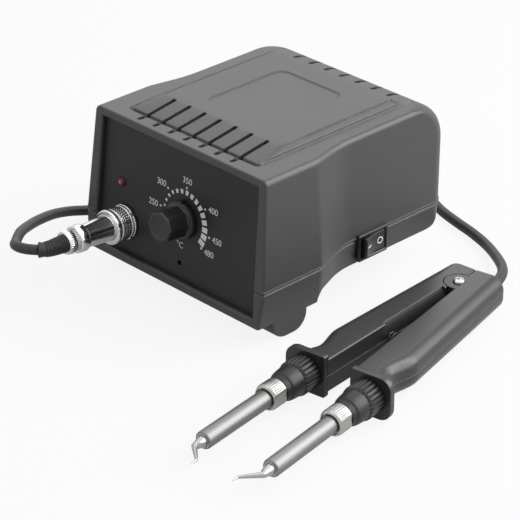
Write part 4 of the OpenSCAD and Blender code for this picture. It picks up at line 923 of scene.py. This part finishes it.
def foot_solid(name, side):
    y0, y1, r = FRONT_FOOT_Y0, FRONT_FOOT_Y0 + FRONT_FOOT_L, FRONT_FOOT_R
    outer = side_x(FOOT_Y, BELLY_Z) - 0.05
    inner = side_x(FOOT_Y, BELLY_Z) - 0.3 - FOOT_IN

    def ring(x, e):
        outline = [(y0 + e, BELLY_Z + 0.5)] + arc(y0 + r, r, r - e, 180, 270, 10)
        outline += arc(y1 - r, r, r - e, 270, 360, 10) + [(y1 - e, BELLY_Z + 0.5)]
        return [(side * x, y, z) for y, z in outline]
    rows = ((inner, 0.6), (inner + 0.2, 0.25), (inner + 0.7, 0), (outer - 0.9, 0), (outer - 0.3, 0.2), (outer, 0.7))
    return loft(name, [ring(*row) for row in rows])


def base_solid(name, inset, front_inset, levels):
    return loft(name, [case_ring(z, inset, front_inset, RIM_Z + 50, EDGE_R, EDGE_R, e) for z, e in levels])


def add_base():
    base = base_solid("case_base", 0, 0, BASE_LEVELS)
    carve(base, belly_cutter("belly_cut", 0))
    hollow = base_solid("base_hollow", WALL, PANEL_RECESS, BASE_HOLLOW_LEVELS)
    carve(hollow, belly_cutter("belly_floor", WALL))
    carve(base, hollow)
    carve(base, foot_solid("left_foot", -1), foot_solid("right_foot", 1), add=True)
    carve(base, window_cutter(), switch_cutter())
    for x, y, z in SCREW_POSTS:
        well = [(0, z - 1), (3.6, z - 1), (3.6, z), (3, z + 0.6), (3, z + 4.5), (0, z + 4.5)]
        carve(base, lathe("screw_well", well, shift(x, y, 0), sides=32))
    shaded(base, case_black, 28, STATION)
    worn(base, "station", "case_black", "base_tray")


add_cover()
add_base()


# Front panel: print, knob, lamp

KNOB_X, KNOB_Z, KNOB_R, KNOB_H, KNOB_FOOT, KNOB_FLATS = 3.5, 47.4, 9.8, 13.2, -2.5, 8
DIAL = on_front(KNOB_X, KNOB_Z, PANEL_RECESS)
BAR_COUNT, BAR_FIRST, BAR_LAST = 15, 168.0, -29.0
BAR_OUTLINE = ((-0.5, -0.44), (0.5, -0.5), (0.5, 0.5), (-0.5, 0.44))
PRINT_T, TEXT_SIZE, TEXT_HALF_T, DOT_R = 0.04, 4.6, 0.02, 0.62
# Each number, its dot's place on the front plane, and the number's place from the dot
DIAL_MARKS = (("250", -13.3, 49.0, -5.3, 0.0), ("300", -8.5, 60.1, -4.9, 1.4), ("350", 4.8, 64.7, 0.1, 3.6),
              ("400", 18.5, 58.1, 5.6, 0.8), ("450", 22.5, 44.4, 5.4, -0.3), ("480", 17.3, 36.8, 5.6, -1.0))
UNIT_MARK = ("°C", 2.1, 33.2)


def panel_point(x, z):
    """Place on the panel's face for a mark measured on the front plane."""
    return x - KNOB_X, (z - KNOB_Z) / cosd(LEAN)


def scale_bars():
    """Blocks round the knob that grow from the cool end to the hot end."""
    bars = loft("scale_bars", [at_height(BAR_OUTLINE, z) for z in (0.0, PRINT_T)])
    step = math.radians((BAR_LAST - BAR_FIRST) / (BAR_COUNT - 1))
    repeated(bars, RING_REPEAT, Count=BAR_COUNT, First_angle=math.radians(BAR_FIRST), Step_angle=step, Radius=14.1,
             Radius_gain=0.115, First_size=1.25, Size_gain=0.2, First_width=1.2, Width_gain=0.148, Finish=print_white)
    bars.data.transform(DIAL)
    return bars


def scale_dots():
    verts, faces = [], []
    for words, x, z, dx, dz in DIAL_MARKS:
        outline = arc(*panel_point(x, z), DOT_R, 0, 345, 15)
        v, f = loft_data([at_height(outline, up) for up in (0.0, PRINT_T)])
        faces += [tuple(i + len(verts) for i in face) for face in f]
        verts += v
    return piece("scale_dots", verts, faces, DIAL, print_white)


def lettering(name, words, x, z):
    curve = bpy.data.curves.new(name, "FONT")
    curve.body = words
    curve.size = TEXT_SIZE
    curve.align_x = "CENTER"
    curve.align_y = "CENTER"
    curve.extrude = TEXT_HALF_T
    curve.space_character = 0.98
    holder = new_object(name, curve)
    mesh = evaluated(holder)
    bpy.data.objects.remove(holder)
    mesh.transform(shift(*panel_point(x, z), TEXT_HALF_T))
    mesh.transform(DIAL)
    return finish_mesh(name, mesh, print_white)


def add_print():
    marks = [scale_bars()]
    marks += [lettering("number_" + words, words, x + dx, z + dz) for words, x, z, dx, dz in DIAL_MARKS]
    marks += [scale_dots(), lettering("degree_mark", *UNIT_MARK)]
    worn(join("dial_print", marks), "station", "white_plastic")


KNOB_FACE_R = KNOB_R - 1.8
KNOB_SKIRT = ((-0.5, 0, 1), (0, 0.4, 1), (0, 2.3, 1), (-0.2, 2.75, 1), (-0.6, 3.0, 1))
KNOB_NECK = ((0.55, 3.1, 0.8), (0.3, 3.6, 0.15))
KNOB_CROWN = ((0, -1.2, 0.05), (-0.15, -0.55, 0.1), (-0.45, -0.15, 0.15), (-0.9, 0, 0.2), (-1.5, 0, 0.25),
              (-1.9, -0.25, 0.3), (-3.5, -0.3, 0.4))
NIB_HALF, NIB_LEVELS = 0.9, ((0.2, 0.3), (0.6, 0.0), (2.6, 0.0), (3.0, 0.4))


def add_knob():
    place = on_front(KNOB_X, KNOB_Z)
    cell = math.pi / KNOB_FLATS

    def ring(r, h, roundness):
        def radius(i, a):
            flat_r = r * math.cos(cell) / math.cos((a + cell) % (2 * cell) - cell)
            return flat_r + (r - flat_r) * roundness
        return polar_ring(KNOB_FLATS * 8, h, radius)

    parts = ((KNOB_R, KNOB_FOOT, KNOB_SKIRT), (KNOB_FACE_R, KNOB_FOOT, KNOB_NECK), (KNOB_FACE_R, KNOB_H, KNOB_CROWN))
    rings = [ring(r + dr, h + dh, roundness) for r, h, rows in parts for dr, dh, roundness in rows]
    knob = loft("dial_knob", rings, place @ turn("Z", 180 / KNOB_FLATS), knob_black, 24)

    def nib_ring(h, e):
        x, y0, y1 = NIB_HALF, KNOB_R - 1.5, KNOB_R + 0.7 - e
        return at_height([(-x, y0), (x, y0), (x - e, y1), (-x + e, y1)], KNOB_FOOT + h)
    nib = loft("knob_nib", [nib_ring(*row) for row in NIB_LEVELS], place, knob_black)
    worn(join("dial_knob", [knob, nib]), "temperature_dial", "knob_black", "temperature_knob")


LENS_X, LENS_Z, LENS_R, LENS_H = -42.3, 51.8, 2.5, 1.8
CORE_DEPTH, CORE_R, CORE_COLOUR = 0.05, 0.0014, (0.75, 0.30, 0.36)


def add_lamp():
    place = on_front(LENS_X, LENS_Z, PANEL_RECESS)
    dome = [(LENS_R * cosd(a), -0.1 + 1.9 * sind(a)) for a in range(0, 90, 10)]
    profile = [(0, -1.8), (LENS_R, -1.8), (LENS_R, -0.2)] + dome + [(0, LENS_H)]
    lens = lathe("lamp_dome", profile, place, lamp_red, 40)
    add_core(lamp_red, place @ Vector((0, 0, LENS_H - CORE_DEPTH)), CORE_R, CORE_COLOUR)
    worn(lens, "station", "lamp_red", "heating_lamp")


add_print()
add_knob()
add_lamp()


# Screw plug on the panel, as rows of radius and distance from the panel

NUT_PROFILE = [(8.06, -2.6), (9.1, -2.6), (9.3, -2.4), (9.3, -1.5), (9.1, -1.27), (8.06, -1.27)]
SLEEVE_PROFILE = [(8.1, -0.9), (8.5, -0.9), (8.8, -0.6), (8.8, -0.2), (8.4, 0.0), (8.4, 5.4), (8.8, 5.6), (8.8, 6.0),
                  (8.4, 6.35), (8.4, 6.75), (9.05, 7.0), (9.25, 7.3), (9.25, 8.9), (9.0, 9.4), (8.6, 9.6), (7.0, 9.6),
                  (6.85, 9.4), (6.85, 6.4), (8.1, 6.4)]
PLUG_PROFILE = [(0, 4.1), (7.8, 4.1), (7.8, 5.9), (6.75, 6.0), (6.75, 10.8), (6.65, 11.2), (6.0, 25.1), (6.05, 25.4),
                (6.5, 25.8), (6.95, 26.3), (7.15, 26.8), (7.15, 30.9), (6.95, 31.4), (6.4, 31.8), (0, 31.8)]
CLAMP_END = 38.2
CLAMP_PROFILE = [(0, 31.8), (5.2, 31.8), (5.2, 32.8), (5.5, 33.0), (5.5, 37.8), (5.3, CLAMP_END), (0, CLAMP_END)]
KNURL_DEPTH, KNURL_STEPS = 0.5, 6
BOOT_RIBS, BOOT_PLAIN, BOOT_R, BOOT_TAPER, RIB_DEPTH = 10, 3.3, 4.7, 1.0, 0.5
BOOT_END = ((3.75, 3.2), (3.65, 1.9), (3.95, 1.2), (3.95, 0.5), (3.6, 0.04), (0.02, 0.0))


def knurled_band(name, r, h0, h1, teeth, slant, rows):
    """Raised diamonds, or straight teeth where there is no slant, on a band of the plug."""
    def ring(t):
        h = h0 + (h1 - h0) * t
        fade = min(1.0, min(t, 1 - t) * rows / 1.5)
        turns = slant * (h - h0) / r

        def radius(i, a):
            up = abs(math.sin((a + turns) * teeth / 2)) * (abs(math.sin((a - turns) * teeth / 2)) if slant else 1.0)
            return r - KNURL_DEPTH * (1 - up * fade)
        return polar_ring(teeth * KNURL_STEPS, h, radius)
    return loft(name, [ring(k / rows) for k in range(rows + 1)], ON_SOCKET, plug_chrome, 60)


def add_plug():
    nut = lathe("socket_ring_nut", NUT_PROFILE)
    for k in range(4):
        carve(nut, block("spanner_notch", (8.5, -1, -4), (12, 1, 1), turn("Z", 45 + 90 * k)))
    shaded(nut, plug_chrome, 30, ON_SOCKET)
    worn(nut, "station", "plug_chrome", "socket_nut")
    sleeve = lathe("ring_body", SLEEVE_PROFILE, ON_SOCKET, plug_chrome, 72)
    knurl = knurled_band("ring_knurl", 8.95, -0.3, 5.7, 40, 1.0, 14)
    worn(join("coupling_sleeve", [sleeve, knurl]), "coupling_ring", "plug_chrome", "coupling_ring")
    barrel = lathe("plug_barrel", PLUG_PROFILE, ON_SOCKET, plug_chrome, 72)
    worn(barrel, "station", "plug_chrome", "plug_body")
    clamp = lathe("clamp_core", CLAMP_PROFILE, ON_SOCKET, plug_chrome, 48)
    teeth = knurled_band("clamp_teeth", 6.2, 32.9, 37.9, 34, 0.0, 6)
    worn(join("clamp_nut", [clamp, teeth]), "station", "plug_chrome", "plug_clamp_nut")


def add_boot():
    """Ribbed sleeve that follows the plug's line through its bend."""
    pitch = (BOOT_EXIT - BOOT_PLAIN - CLAMP_END) / BOOT_RIBS
    profile = [(0.02, CLAMP_END)]
    for i in range(BOOT_RIBS):
        s = CLAMP_END + i * pitch
        r = BOOT_R - BOOT_TAPER * (s - CLAMP_END) / (BOOT_EXIT - CLAMP_END)
        profile += [(r - 0.12, s + 0.02), (r, s + 0.15), (r, s + 0.55 * pitch), (r - 0.15, s + 0.62 * pitch),
                    (r - RIB_DEPTH, s + 0.68 * pitch), (r - RIB_DEPTH, s + 0.97 * pitch)]
    profile += [(r, BOOT_EXIT - back) for r, back in BOOT_END]
    rings = tube_rings([plug_line(s) for r, s in profile], [r for r, s in profile], 40)
    worn(loft("cord_boot", rings, STATION, rubber_black), "station", "rubber_black", "plug_boot")


add_plug()
add_boot()


# Power switch on the right side

ROCKER_HALF_L, ROCKER_HALF_H, ROCKER_TILT, ROCKER_SEAT = (SWITCH_L - 4) / 2, (SWITCH_H - 4.4) / 2, 9.0, 1.5
ROCKER_REACH = ROCKER_HALF_L * cosd(ROCKER_TILT) - 0.4
ROCKER_FACE = ROCKER_REACH - 0.6
BEZEL_OUTER = ((-1, 0.6, -13.5), (-1, 0.6, -0.02), (0, 1.0, 0), (0, 1.0, 1.3), (-0.25, 1.0, 1.75), (-0.7, 0.9, 2.0))
BEZEL_INNER = ((0.9, 0.6, 2.0), (0.45, 0.5, 1.5), (0.35, 0.4, 0.8), (0.35, 0.4, -8.8))
MARK_LIFT, BAR_START, BAR_STEP, BAR_HALF, HOOP_AT, HOOP_IN, HOOP_OUT = 0.03, -6.2, 0.56, 0.35, 4.5, 1.35, 1.9


def rocker_x(t):
    """Hollow face of the rocker along its length."""
    return 4.5 - 1.1 * math.cos(math.pi / 2 * t / ROCKER_FACE)


def rocker_marks():
    """A bar at the front half and a hoop at the rear half, as strips laid on the hollow face."""
    bar = [[(BAR_START + BAR_STEP * k, half) for half in (-BAR_HALF, BAR_HALF)] for k in range(7)]
    hoop = [[(HOOP_AT + r * math.cos(a), r * math.sin(a)) for r in (HOOP_IN, HOOP_OUT)]
            for a in [2 * math.pi * i / 28 for i in range(28)]]
    verts, faces = [], []
    for pairs, steps in ((bar, 6), (hoop, 28)):
        base = len(verts)
        verts += [(rocker_x(t) + MARK_LIFT, t, h) for pair in pairs for t, h in pair]
        for i in range(steps):
            j = (i + 1) % len(pairs)
            faces.append((base + 2 * i, base + 2 * j, base + 2 * j + 1, base + 2 * i + 1))
    return verts, faces


def add_switch():
    def ring(a, b, r, out):
        return [(SWITCH_X + out, SWITCH_Y + p, SWITCH_Z + q) for p, q in rounded(a, a, -b, b, r, 4)]
    parts = ((SWITCH_L / 2, SWITCH_H / 2, BEZEL_OUTER), (ROCKER_HALF_L, ROCKER_HALF_H, BEZEL_INNER))
    rings = [ring(a + grow, b + grow, r, out) for a, b, rows in parts for grow, r, out in rows]
    worn(loft("switch_bezel", rings, STATION, switch_black, 30), "station", "switch_black", "switch_housing")

    place = STATION @ shift(SWITCH_X - ROCKER_SEAT, SWITCH_Y, SWITCH_Z) @ turn("Z", ROCKER_TILT)
    outline = [(-3, -4), (0.4, -ROCKER_REACH), (3.9, -ROCKER_REACH)]
    outline += [(rocker_x(t), t) for t in [(-1 + 2 * k / 16) * ROCKER_FACE for k in range(17)]]
    outline += [(3.9, ROCKER_REACH), (0.4, ROCKER_REACH), (-3, 4)]
    rounding = ((0.0, 0.35), (0.12, 0.12), (0.4, 0.0))
    levels = [(-ROCKER_HALF_H + d, e) for d, e in rounding] + [(ROCKER_HALF_H - d, e) for d, e in reversed(rounding)]
    rings = [[(x - e if x > 1 else x, y * (1 - e / ROCKER_REACH), h) for x, y in outline] for h, e in levels]
    rocker = loft("switch_rocker", rings, place, switch_black, 34)
    marks = piece("rocker_marks", *rocker_marks(), place, print_white)
    worn(join("switch_rocker", [rocker, marks]), "power_rocker", "switch_black", "power_rocker")


add_switch()


# Handpiece

FLANGE_T, FLANGE_OUT, FLANGE_CR, FLANGE_IR = 3.5, 12.0, 6.5, 1.2
BODY_END = ARM_L - FLANGE_T + 0.7
GRIP_U, FINGER_U = BODY_END - 28, BODY_END - 11
ARM_STATIONS = [-TAIL_L + d for d in (0, 0.1, 0.4, 0.9, 1.6, 2.5, 3.6, 5)]
ARM_STATIONS += [-8, -4, 0, 3, KNUCKLE_R, 16, 26, 36, 46, 56, 64]
ARM_STATIONS += [GRIP_U - 3 + (FINGER_U - GRIP_U + 3) * k / 12 for k in range(13)]
ARM_STATIONS += [FINGER_U + (BODY_END - FINGER_U) * k / 8 for k in range(1, 9)]
ARM_IR, TAIL_EDGE_R = 0.9, 2.0
ARM_SCREW_U = (0.3 * ARM_L, 0.84 * ARM_L)
BEVEL_U0, BEVEL_U1, BEVEL_H, BEVEL_V = KNUCKLE_R + 1.5, 57.0, 4, 2
NUT_SEAT_R, NUT_SEAT_DEPTH, SHARP = 4.6, 0.06, 0.01


def arm_inner(u):
    if u <= 0:
        return CLEAR / 2 - u * tand(HALF_OPEN)
    if u < KNUCKLE_R:
        return CLEAR / 2 + (INNER_V - CLEAR / 2) * u / KNUCKLE_R
    return INNER_V


def arm_outer(u):
    if u < TAIL_R - TAIL_L:
        return TAIL_V - TAIL_R + math.sqrt(max(0.0, TAIL_R ** 2 - (TAIL_R - TAIL_L - u) ** 2))
    if u < GRIP_U:
        return TAIL_V + (GRIP_V - TAIL_V) * (u + TAIL_L) / (GRIP_U + TAIL_L)
    if u < FINGER_U:
        return GRIP_V + (FINGER_V - GRIP_V) * smooth((u - GRIP_U) / (FINGER_U - GRIP_U))
    return FINGER_V + (FLARE_V - FINGER_V) * smooth((u - FINGER_U) / (BODY_END - FINGER_U))


def arm_half(name):
    """Upper half of an arm, from the parting plane to the top."""
    rings = []
    for u in ARM_STATIONS:
        vi, vo, top = arm_inner(u), arm_outer(u), ARM_H / 2 - round_in(TAIL_EDGE_R - (u + TAIL_L), TAIL_EDGE_R)
        r = min(GRIP_R, vo - vi - 1.6)
        section = [(vi, 0.25), (vi + 0.25, 0.06), (vo - 0.35, 0.06), (vo - 0.12, 0.2), (vo - 0.02, 0.45), (vo, 0.9)]
        section += arc(vo - r, top - r, r, 0, 90, 14) + arc(vi + ARM_IR, top - ARM_IR, ARM_IR, 90, 180, 4)
        rings.append([(u, v, MID_Z + z) for v, z in section])
    return loft(name, rings)


def flange_half(name):
    vi = INNER_V - BARREL_V

    def ring(e, h):
        section = [(vi + e, 0.05), (FLANGE_OUT - e, 0.05)]
        section += arc(FLANGE_OUT - FLANGE_CR, MID_Z - FLANGE_CR, FLANGE_CR - e, 0, 90, 12)
        section += arc(vi + FLANGE_IR, MID_Z - FLANGE_IR, FLANGE_IR - e, 90, 180, 4)
        return [(-z, v, h) for v, z in section]
    rows = ((0.5, -FLANGE_T), (0.15, -FLANGE_T + 0.15), (0, -FLANGE_T + 0.5), (0, -0.5), (0.15, -0.15), (0.5, 0))
    return loft(name, [ring(*row) for row in rows], ON_BARREL)


def disc(name, r, z0, z1, edge=SHARP):
    profile = [(0, z0), (r, z0), (r, z1 - edge), (r - 0.3 * edge, z1 - 0.1 * edge), (r - edge, z1), (0, z1)]
    return lathe(name, profile, sides=56)


def add_shell(arm, place, body, lower, has_knuckle):
    """Half of an arm: each arm has one knuckle, and a seat for the other arm's."""
    level = "lower" if lower else "upper"
    shell = arm_half(f"{arm}_{level}")
    carve(shell, flange_half("flange"), add=True)
    if has_knuckle:
        carve(shell, disc("knuckle", KNUCKLE_R, MID_Z + CLEAR / 2, ARM_TOP, 0.4), add=True)
        carve(shell, disc("knuckle_gap", KNUCKLE_R + CLEAR, MID_Z - 2, MID_Z + CLEAR / 2),
              disc("pivot_hole", PIVOT_R + 0.05, 0, 40))
        if lower:
            carve(shell, disc("nut_seat", NUT_SEAT_R, ARM_TOP - NUT_SEAT_DEPTH, ARM_TOP + 1))
    else:
        carve(shell, disc("knuckle_seat", KNUCKLE_R + CLEAR, MID_Z - 2, ARM_TOP + 3))
    if lower:
        well = [(0, -3), (2.8, -3), (2.8, -0.5), (3.2, 0.1), (3.2, 4), (0, 4)]
        for u in ARM_SCREW_U:
            v = (INNER_V + arm_outer(u)) / 2
            carve(shell, lathe("well", [(r, ARM_TOP + h) for r, h in well], shift(u, v, 0), sides=32))
    if arm == "swing_arm" and not lower:
        section = ((-1, 1), (-1, -BEVEL_H), (0, -BEVEL_H), (BEVEL_V, 0), (BEVEL_V, 1))
        carve(shell, loft("bevel", [[(u, INNER_V + v, ARM_TOP + z) for v, z in section] for u in (BEVEL_U0, BEVEL_U1)]))
    shaded(shell, handle_black, 28, place @ LOWER if lower else place)
    worn(shell, body, "handle_black", f"{arm}_{level}_shell")


for arm, place, body in ARMS:
    add_shell(arm, place, body, False, arm == "cord_arm")
    add_shell(arm, place, body, True, arm == "swing_arm")


# Heating barrels

NOSE_END = COLLAR_L + NOSE_L
NUT_END = NOSE_END + NUT_L
TUBE_END = NUT_END + TUBE_L
FLUTES, FLUTE_STEPS, COLLAR_BORE = 24, 12, 5.6
NOSE_FOOT_R, NOSE_NECK_R, NOSE_DOME_L, NOSE_LIP = COLLAR_R - 0.9, NUT_R + 0.1, 0.72 * NOSE_L, 0.25
NUT_POINTS, NUT_FLAT, NUT_BORE, NUT_FLOOR, TOOTH = 144, 0.86 * NUT_R, 5.3, 6.2, 0.28
TOOTH_SHAPE = (0.0, 1.0, 1.0, 0.0)
CONE_L, BLADE_REACH, POINT_REACH, BEND_V, POINT_V = 6.2, 7.4, 4.0, 1.1, 0.6
TIP_RADII = [3.85, 3.85, 2.9, 3.0, 2.6, 2.0, 1.5, 1.28, 1.12, 0.96, 0.8, 0.66, 0.52, 0.36, 0.2, 0.06]


def fluted_collar(name, place):
    def ring(r, h, depth):
        def radius(i, a):
            cell = (i % FLUTE_STEPS) / FLUTE_STEPS
            return r - depth * (smooth((cell - 0.62) / 0.1) * (1 - smooth((cell - 0.88) / 0.1)))
        return polar_ring(FLUTES * FLUTE_STEPS, h, radius)
    r, end = COLLAR_R, COLLAR_L
    rows = ((COLLAR_BORE, 0.05, 0), (r - 0.5, 0.05, 0.3), (r, 0.5, 0.8), (r, end - 1.6, 0.8), (r - 0.2, end - 0.9, 0.6),
            (r - 0.7, end - 0.35, 0.2), (r - 1.1, end, 0), (COLLAR_BORE, end, 0))
    return loft(name, [ring(*row) for row in rows], place, nose_black, 30)


def nose_cone(name, place):
    foot, neck, dome_end = NOSE_FOOT_R, NOSE_NECK_R, COLLAR_L + NOSE_DOME_L
    profile = [(2.1, -8), (5.5, -8), (5.5, COLLAR_L), (foot - NOSE_LIP, COLLAR_L)]
    profile += [(neck + (foot - neck) * cosd(a), COLLAR_L + NOSE_LIP + (NOSE_DOME_L - NOSE_LIP) * sind(a))
                for a in range(0, 91, 9)]
    profile += [(neck - 0.2, dome_end + 0.3), (neck - 0.3, NOSE_END - 0.3), (neck - 0.5, NOSE_END), (5.2, NOSE_END),
                (5.2, NOSE_END + 5), (2.1, NOSE_END + 5)]
    return lathe(name, profile, place, nose_black)


def barrel_nut(name, place):
    """Fine teeth all round, two flats for a spanner at the sides, a chamfer and a mouth for the tube."""
    def ring(r, h, teeth, flats):
        def radius(i, a):
            rr = r - teeth * TOOTH_SHAPE[i % len(TOOTH_SHAPE)]
            return min(rr, NUT_FLAT / max(0.1, abs(math.sin(a)))) if flats else rr
        return polar_ring(NUT_POINTS, NOSE_END + h, radius)
    r, e, t = NUT_R, NUT_L, TUBE_R
    toothed = ((NUT_BORE, 0.02, 0), (r - 0.6, 0.02, 0), (r - 0.25, 0.3, 0), (r, 0.6, TOOTH), (r, e - 1.9, TOOTH),
               (r - 0.1, e - 1.6, 0), (r - 0.35, e - 0.9, 0))
    mouth = ((r - 0.8, e - 0.25), (r - 1.1, e), (t + 0.75, e), (t + 0.55, e - 0.3), (t + 0.5, e - 1.0),
             (t + 0.06, e - 1.05), (t + 0.06, NUT_FLOOR), (NUT_BORE, NUT_FLOOR))
    rings = [ring(*row, True) for row in toothed] + [ring(*row, 0, False) for row in mouth]
    return loft(name, rings + rings[:1], place, nut_nickel, 34, cap=False)


def heat_tube(name, place):
    r, start, end = TUBE_R, NOSE_END + 5.05, TUBE_END
    profile = [(3.9, start), (5.1, start), (5.1, NOSE_END + 6.05), (r, NOSE_END + 6.1), (r, end - 0.8),
               (r - 0.12, end - 0.3), (r - 0.35, end), (3.9, end)]
    return lathe(name, profile, place, barrel_steel)


def bent_tip(name, place):
    end_u, end_v = ARM_L + TUBE_END * cosd(TOE_IN), BARREL_V - TUBE_END * sind(TOE_IN)
    knee = Vector((end_u + CONE_L, end_v - CONE_L * sind(TOE_IN), MID_Z))
    bend = Vector((knee.x + BLADE_REACH, BEND_V, MID_Z))
    point = Vector((bend.x + POINT_REACH, POINT_V, MID_Z))
    spine = [ON_BARREL @ Vector((0, 0, TUBE_END + d)) for d in (-10, -0.02, 0, 0.35, 2.2, 4.4)]
    spine += [knee - Vector((0.4, -0.3, 0))] + [knee.lerp(bend, t) for t in (0.12, 0.35, 0.6, 0.85)]
    spine += [bend + Vector((0.15, -0.12, 0))] + [bend.lerp(point, t) for t in (0.3, 0.65, 0.93)] + [point]
    return loft(name, tube_rings(spine, TIP_RADII, 28), place, tip_chrome, 40)


for arm, place, body in ARMS:
    on_barrel = place @ ON_BARREL
    worn(fluted_collar(arm + "_grip_collar", on_barrel), body, "nose_black", arm + "_collar")
    worn(nose_cone(arm + "_nose_cone", on_barrel), body, "nose_black", arm + "_nose")
    worn(barrel_nut(arm + "_clamp_nut", on_barrel), body, "nut_nickel", arm + "_barrel_nut")
    worn(heat_tube(arm + "_heat_tube", on_barrel), body, "barrel_steel", arm + "_barrel")
    worn(bent_tip(arm + "_bent_tip", place), body, "barrel_steel", arm + "_tip")


# Pivot, return spring and tail bush

BOLT_HEAD = ((2, 0), (2.9, 0), (3.0, 0.25), (2.95, 0.7), (2.6, 1.2), (1.8, 1.55), (0, 1.6))
CROSS_TURN, CROSS_HALF_L, CROSS_HALF_W, CROSS_FLOOR = 20, 1.7, 0.28, 0.75
SPRING_U, SPRING_R, WIRE_R, SPRING_TURNS, SPRING_STEPS = 53, 3.1, 0.36, 4.0, 160
BUSH_PROFILE = [(0, -3), (3.1, -3), (3.35, -2.8), (3.6, -2.0), (3.9, -0.9), (4.0, 0.0), (4.3, 0.1), (4.3, 6), (0, 6)]


def add_pivot():
    bolt = lathe("pivot_bolt", [(0, 0.3), (2, 0.3)] + [(r, ARM_TOP + h) for r, h in BOLT_HEAD], sides=48)
    for a in (0, 90):
        carve(bolt, block("cross", (-CROSS_HALF_L, -CROSS_HALF_W, ARM_TOP + CROSS_FLOOR),
                          (CROSS_HALF_L, CROSS_HALF_W, ARM_TOP + 4), turn("Z", a + CROSS_TURN)))
    shaded(bolt, screw_steel, 30, HANDPIECE)
    worn(bolt, "handpiece", "screw_steel", "pivot_screw")


def add_spring():
    half = INNER_V + SPRING_U * tand(HALF_OPEN) - 0.2
    coil = []
    for i in range(SPRING_STEPS + 1):
        t = i / SPRING_STEPS
        a = 2 * math.pi * SPRING_TURNS * t
        x, z = SPRING_U + SPRING_R * math.cos(a), MID_Z + SPRING_R * math.sin(a)
        coil.append(Vector((x, (2 * t - 1) * (half - 0.4), z)))
    spring = loft("arm_spring", tube_rings(coil, WIRE_R, 10), HANDPIECE, spring_black, 60)
    worn(spring, "handpiece", "screw_steel", "return_spring")
    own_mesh(spring)


def add_bush():
    place = CORD_ARM @ shift(-TAIL_L, TAIL_CORD_V, MID_Z) @ turn("Y", 90)
    worn(lathe("cord_bush", BUSH_PROFILE, place, rubber_black, 40), "handpiece", "rubber_black", "tail_bush")


add_pivot()
add_spring()
add_bush()


# Floor and light, in metres and watts

WORLD_LIGHT, FLOOR_GREY, FLOOR_ROUGH, FLOOR_SEEN, FLOOR_MIRRORED = 0.26, 0.62, 0.9, 0.88, 0.25
FLOOR_HALF, FLOOR_Z, LIGHT_AIM = 4, -0.0002, Vector((0, 0, 0.05))
LIGHTS = (("overhead", (-0.1, 0.35, 1.5), 2.2, 12), ("right_fill", (0.8, 0.6, 0.75), 1.2, 17),
          ("rear_key", (0.62, 1.26, 0.9), 1.1, 7), ("rear_left", (-1.26, 1.22, 0.95), 0.9, 2.5),
          ("front_fill", (-0.4, -1.5, 0.8), 1.0, 2))


def seen_by(tree):
    """Whether a ray comes from the camera, and whether it comes from a mirror or glass."""
    rays = tree.nodes.new("ShaderNodeLightPath").outputs
    return rays["Is Camera Ray"], calc(tree, "MAXIMUM", rays["Is Glossy Ray"], rays["Is Transmission Ray"])


def add_world():
    world = bpy.data.worlds.new("studio")
    bpy.context.scene.world = world
    world.use_nodes = True
    tree = world.node_tree
    seen = calc(tree, "MAXIMUM", *seen_by(tree))
    strength = calc(tree, "ADD", calc(tree, "MULTIPLY", seen, 1 - WORLD_LIGHT), WORLD_LIGHT)
    feed(tree, tree.nodes["Background"], {"Color": (1, 1, 1, 1), "Strength": strength})


def add_floor():
    h = FLOOR_HALF
    material, tree, shader = new_material("pale_floor")
    feed(tree, shader, {"Base Color": (FLOOR_GREY, FLOOR_GREY, FLOOR_GREY, 1), "Roughness": FLOOR_ROUGH})
    camera, mirror = seen_by(tree)
    share = calc(tree, "MAXIMUM", calc(tree, "MULTIPLY", camera, FLOOR_SEEN),
                 calc(tree, "MULTIPLY", mirror, FLOOR_MIRRORED))
    glow = node(tree, "ShaderNodeEmission", {"Strength": 1.0})
    mix = node(tree, "ShaderNodeMixShader", {0: share, 1: shader.outputs[0], 2: glow.outputs[0]})
    feed(tree, tree.nodes["Material Output"], {"Surface": mix.outputs[0]})
    floor = piece("floor", at_height([(-h, -h), (h, -h), (h, h), (-h, h)], FLOOR_Z), [(0, 1, 2, 3)], None, material)


add_world()
add_floor()
for name, place, size, watts in LIGHTS:
    data = bpy.data.lights.new(name, "AREA")
    data.shape = "SQUARE"
    data.size = size
    data.energy = watts
    aim(new_object(name, data), place, Vector(place) - LIGHT_AIM)
bpy.context.scene.view_settings.view_transform = "Standard"
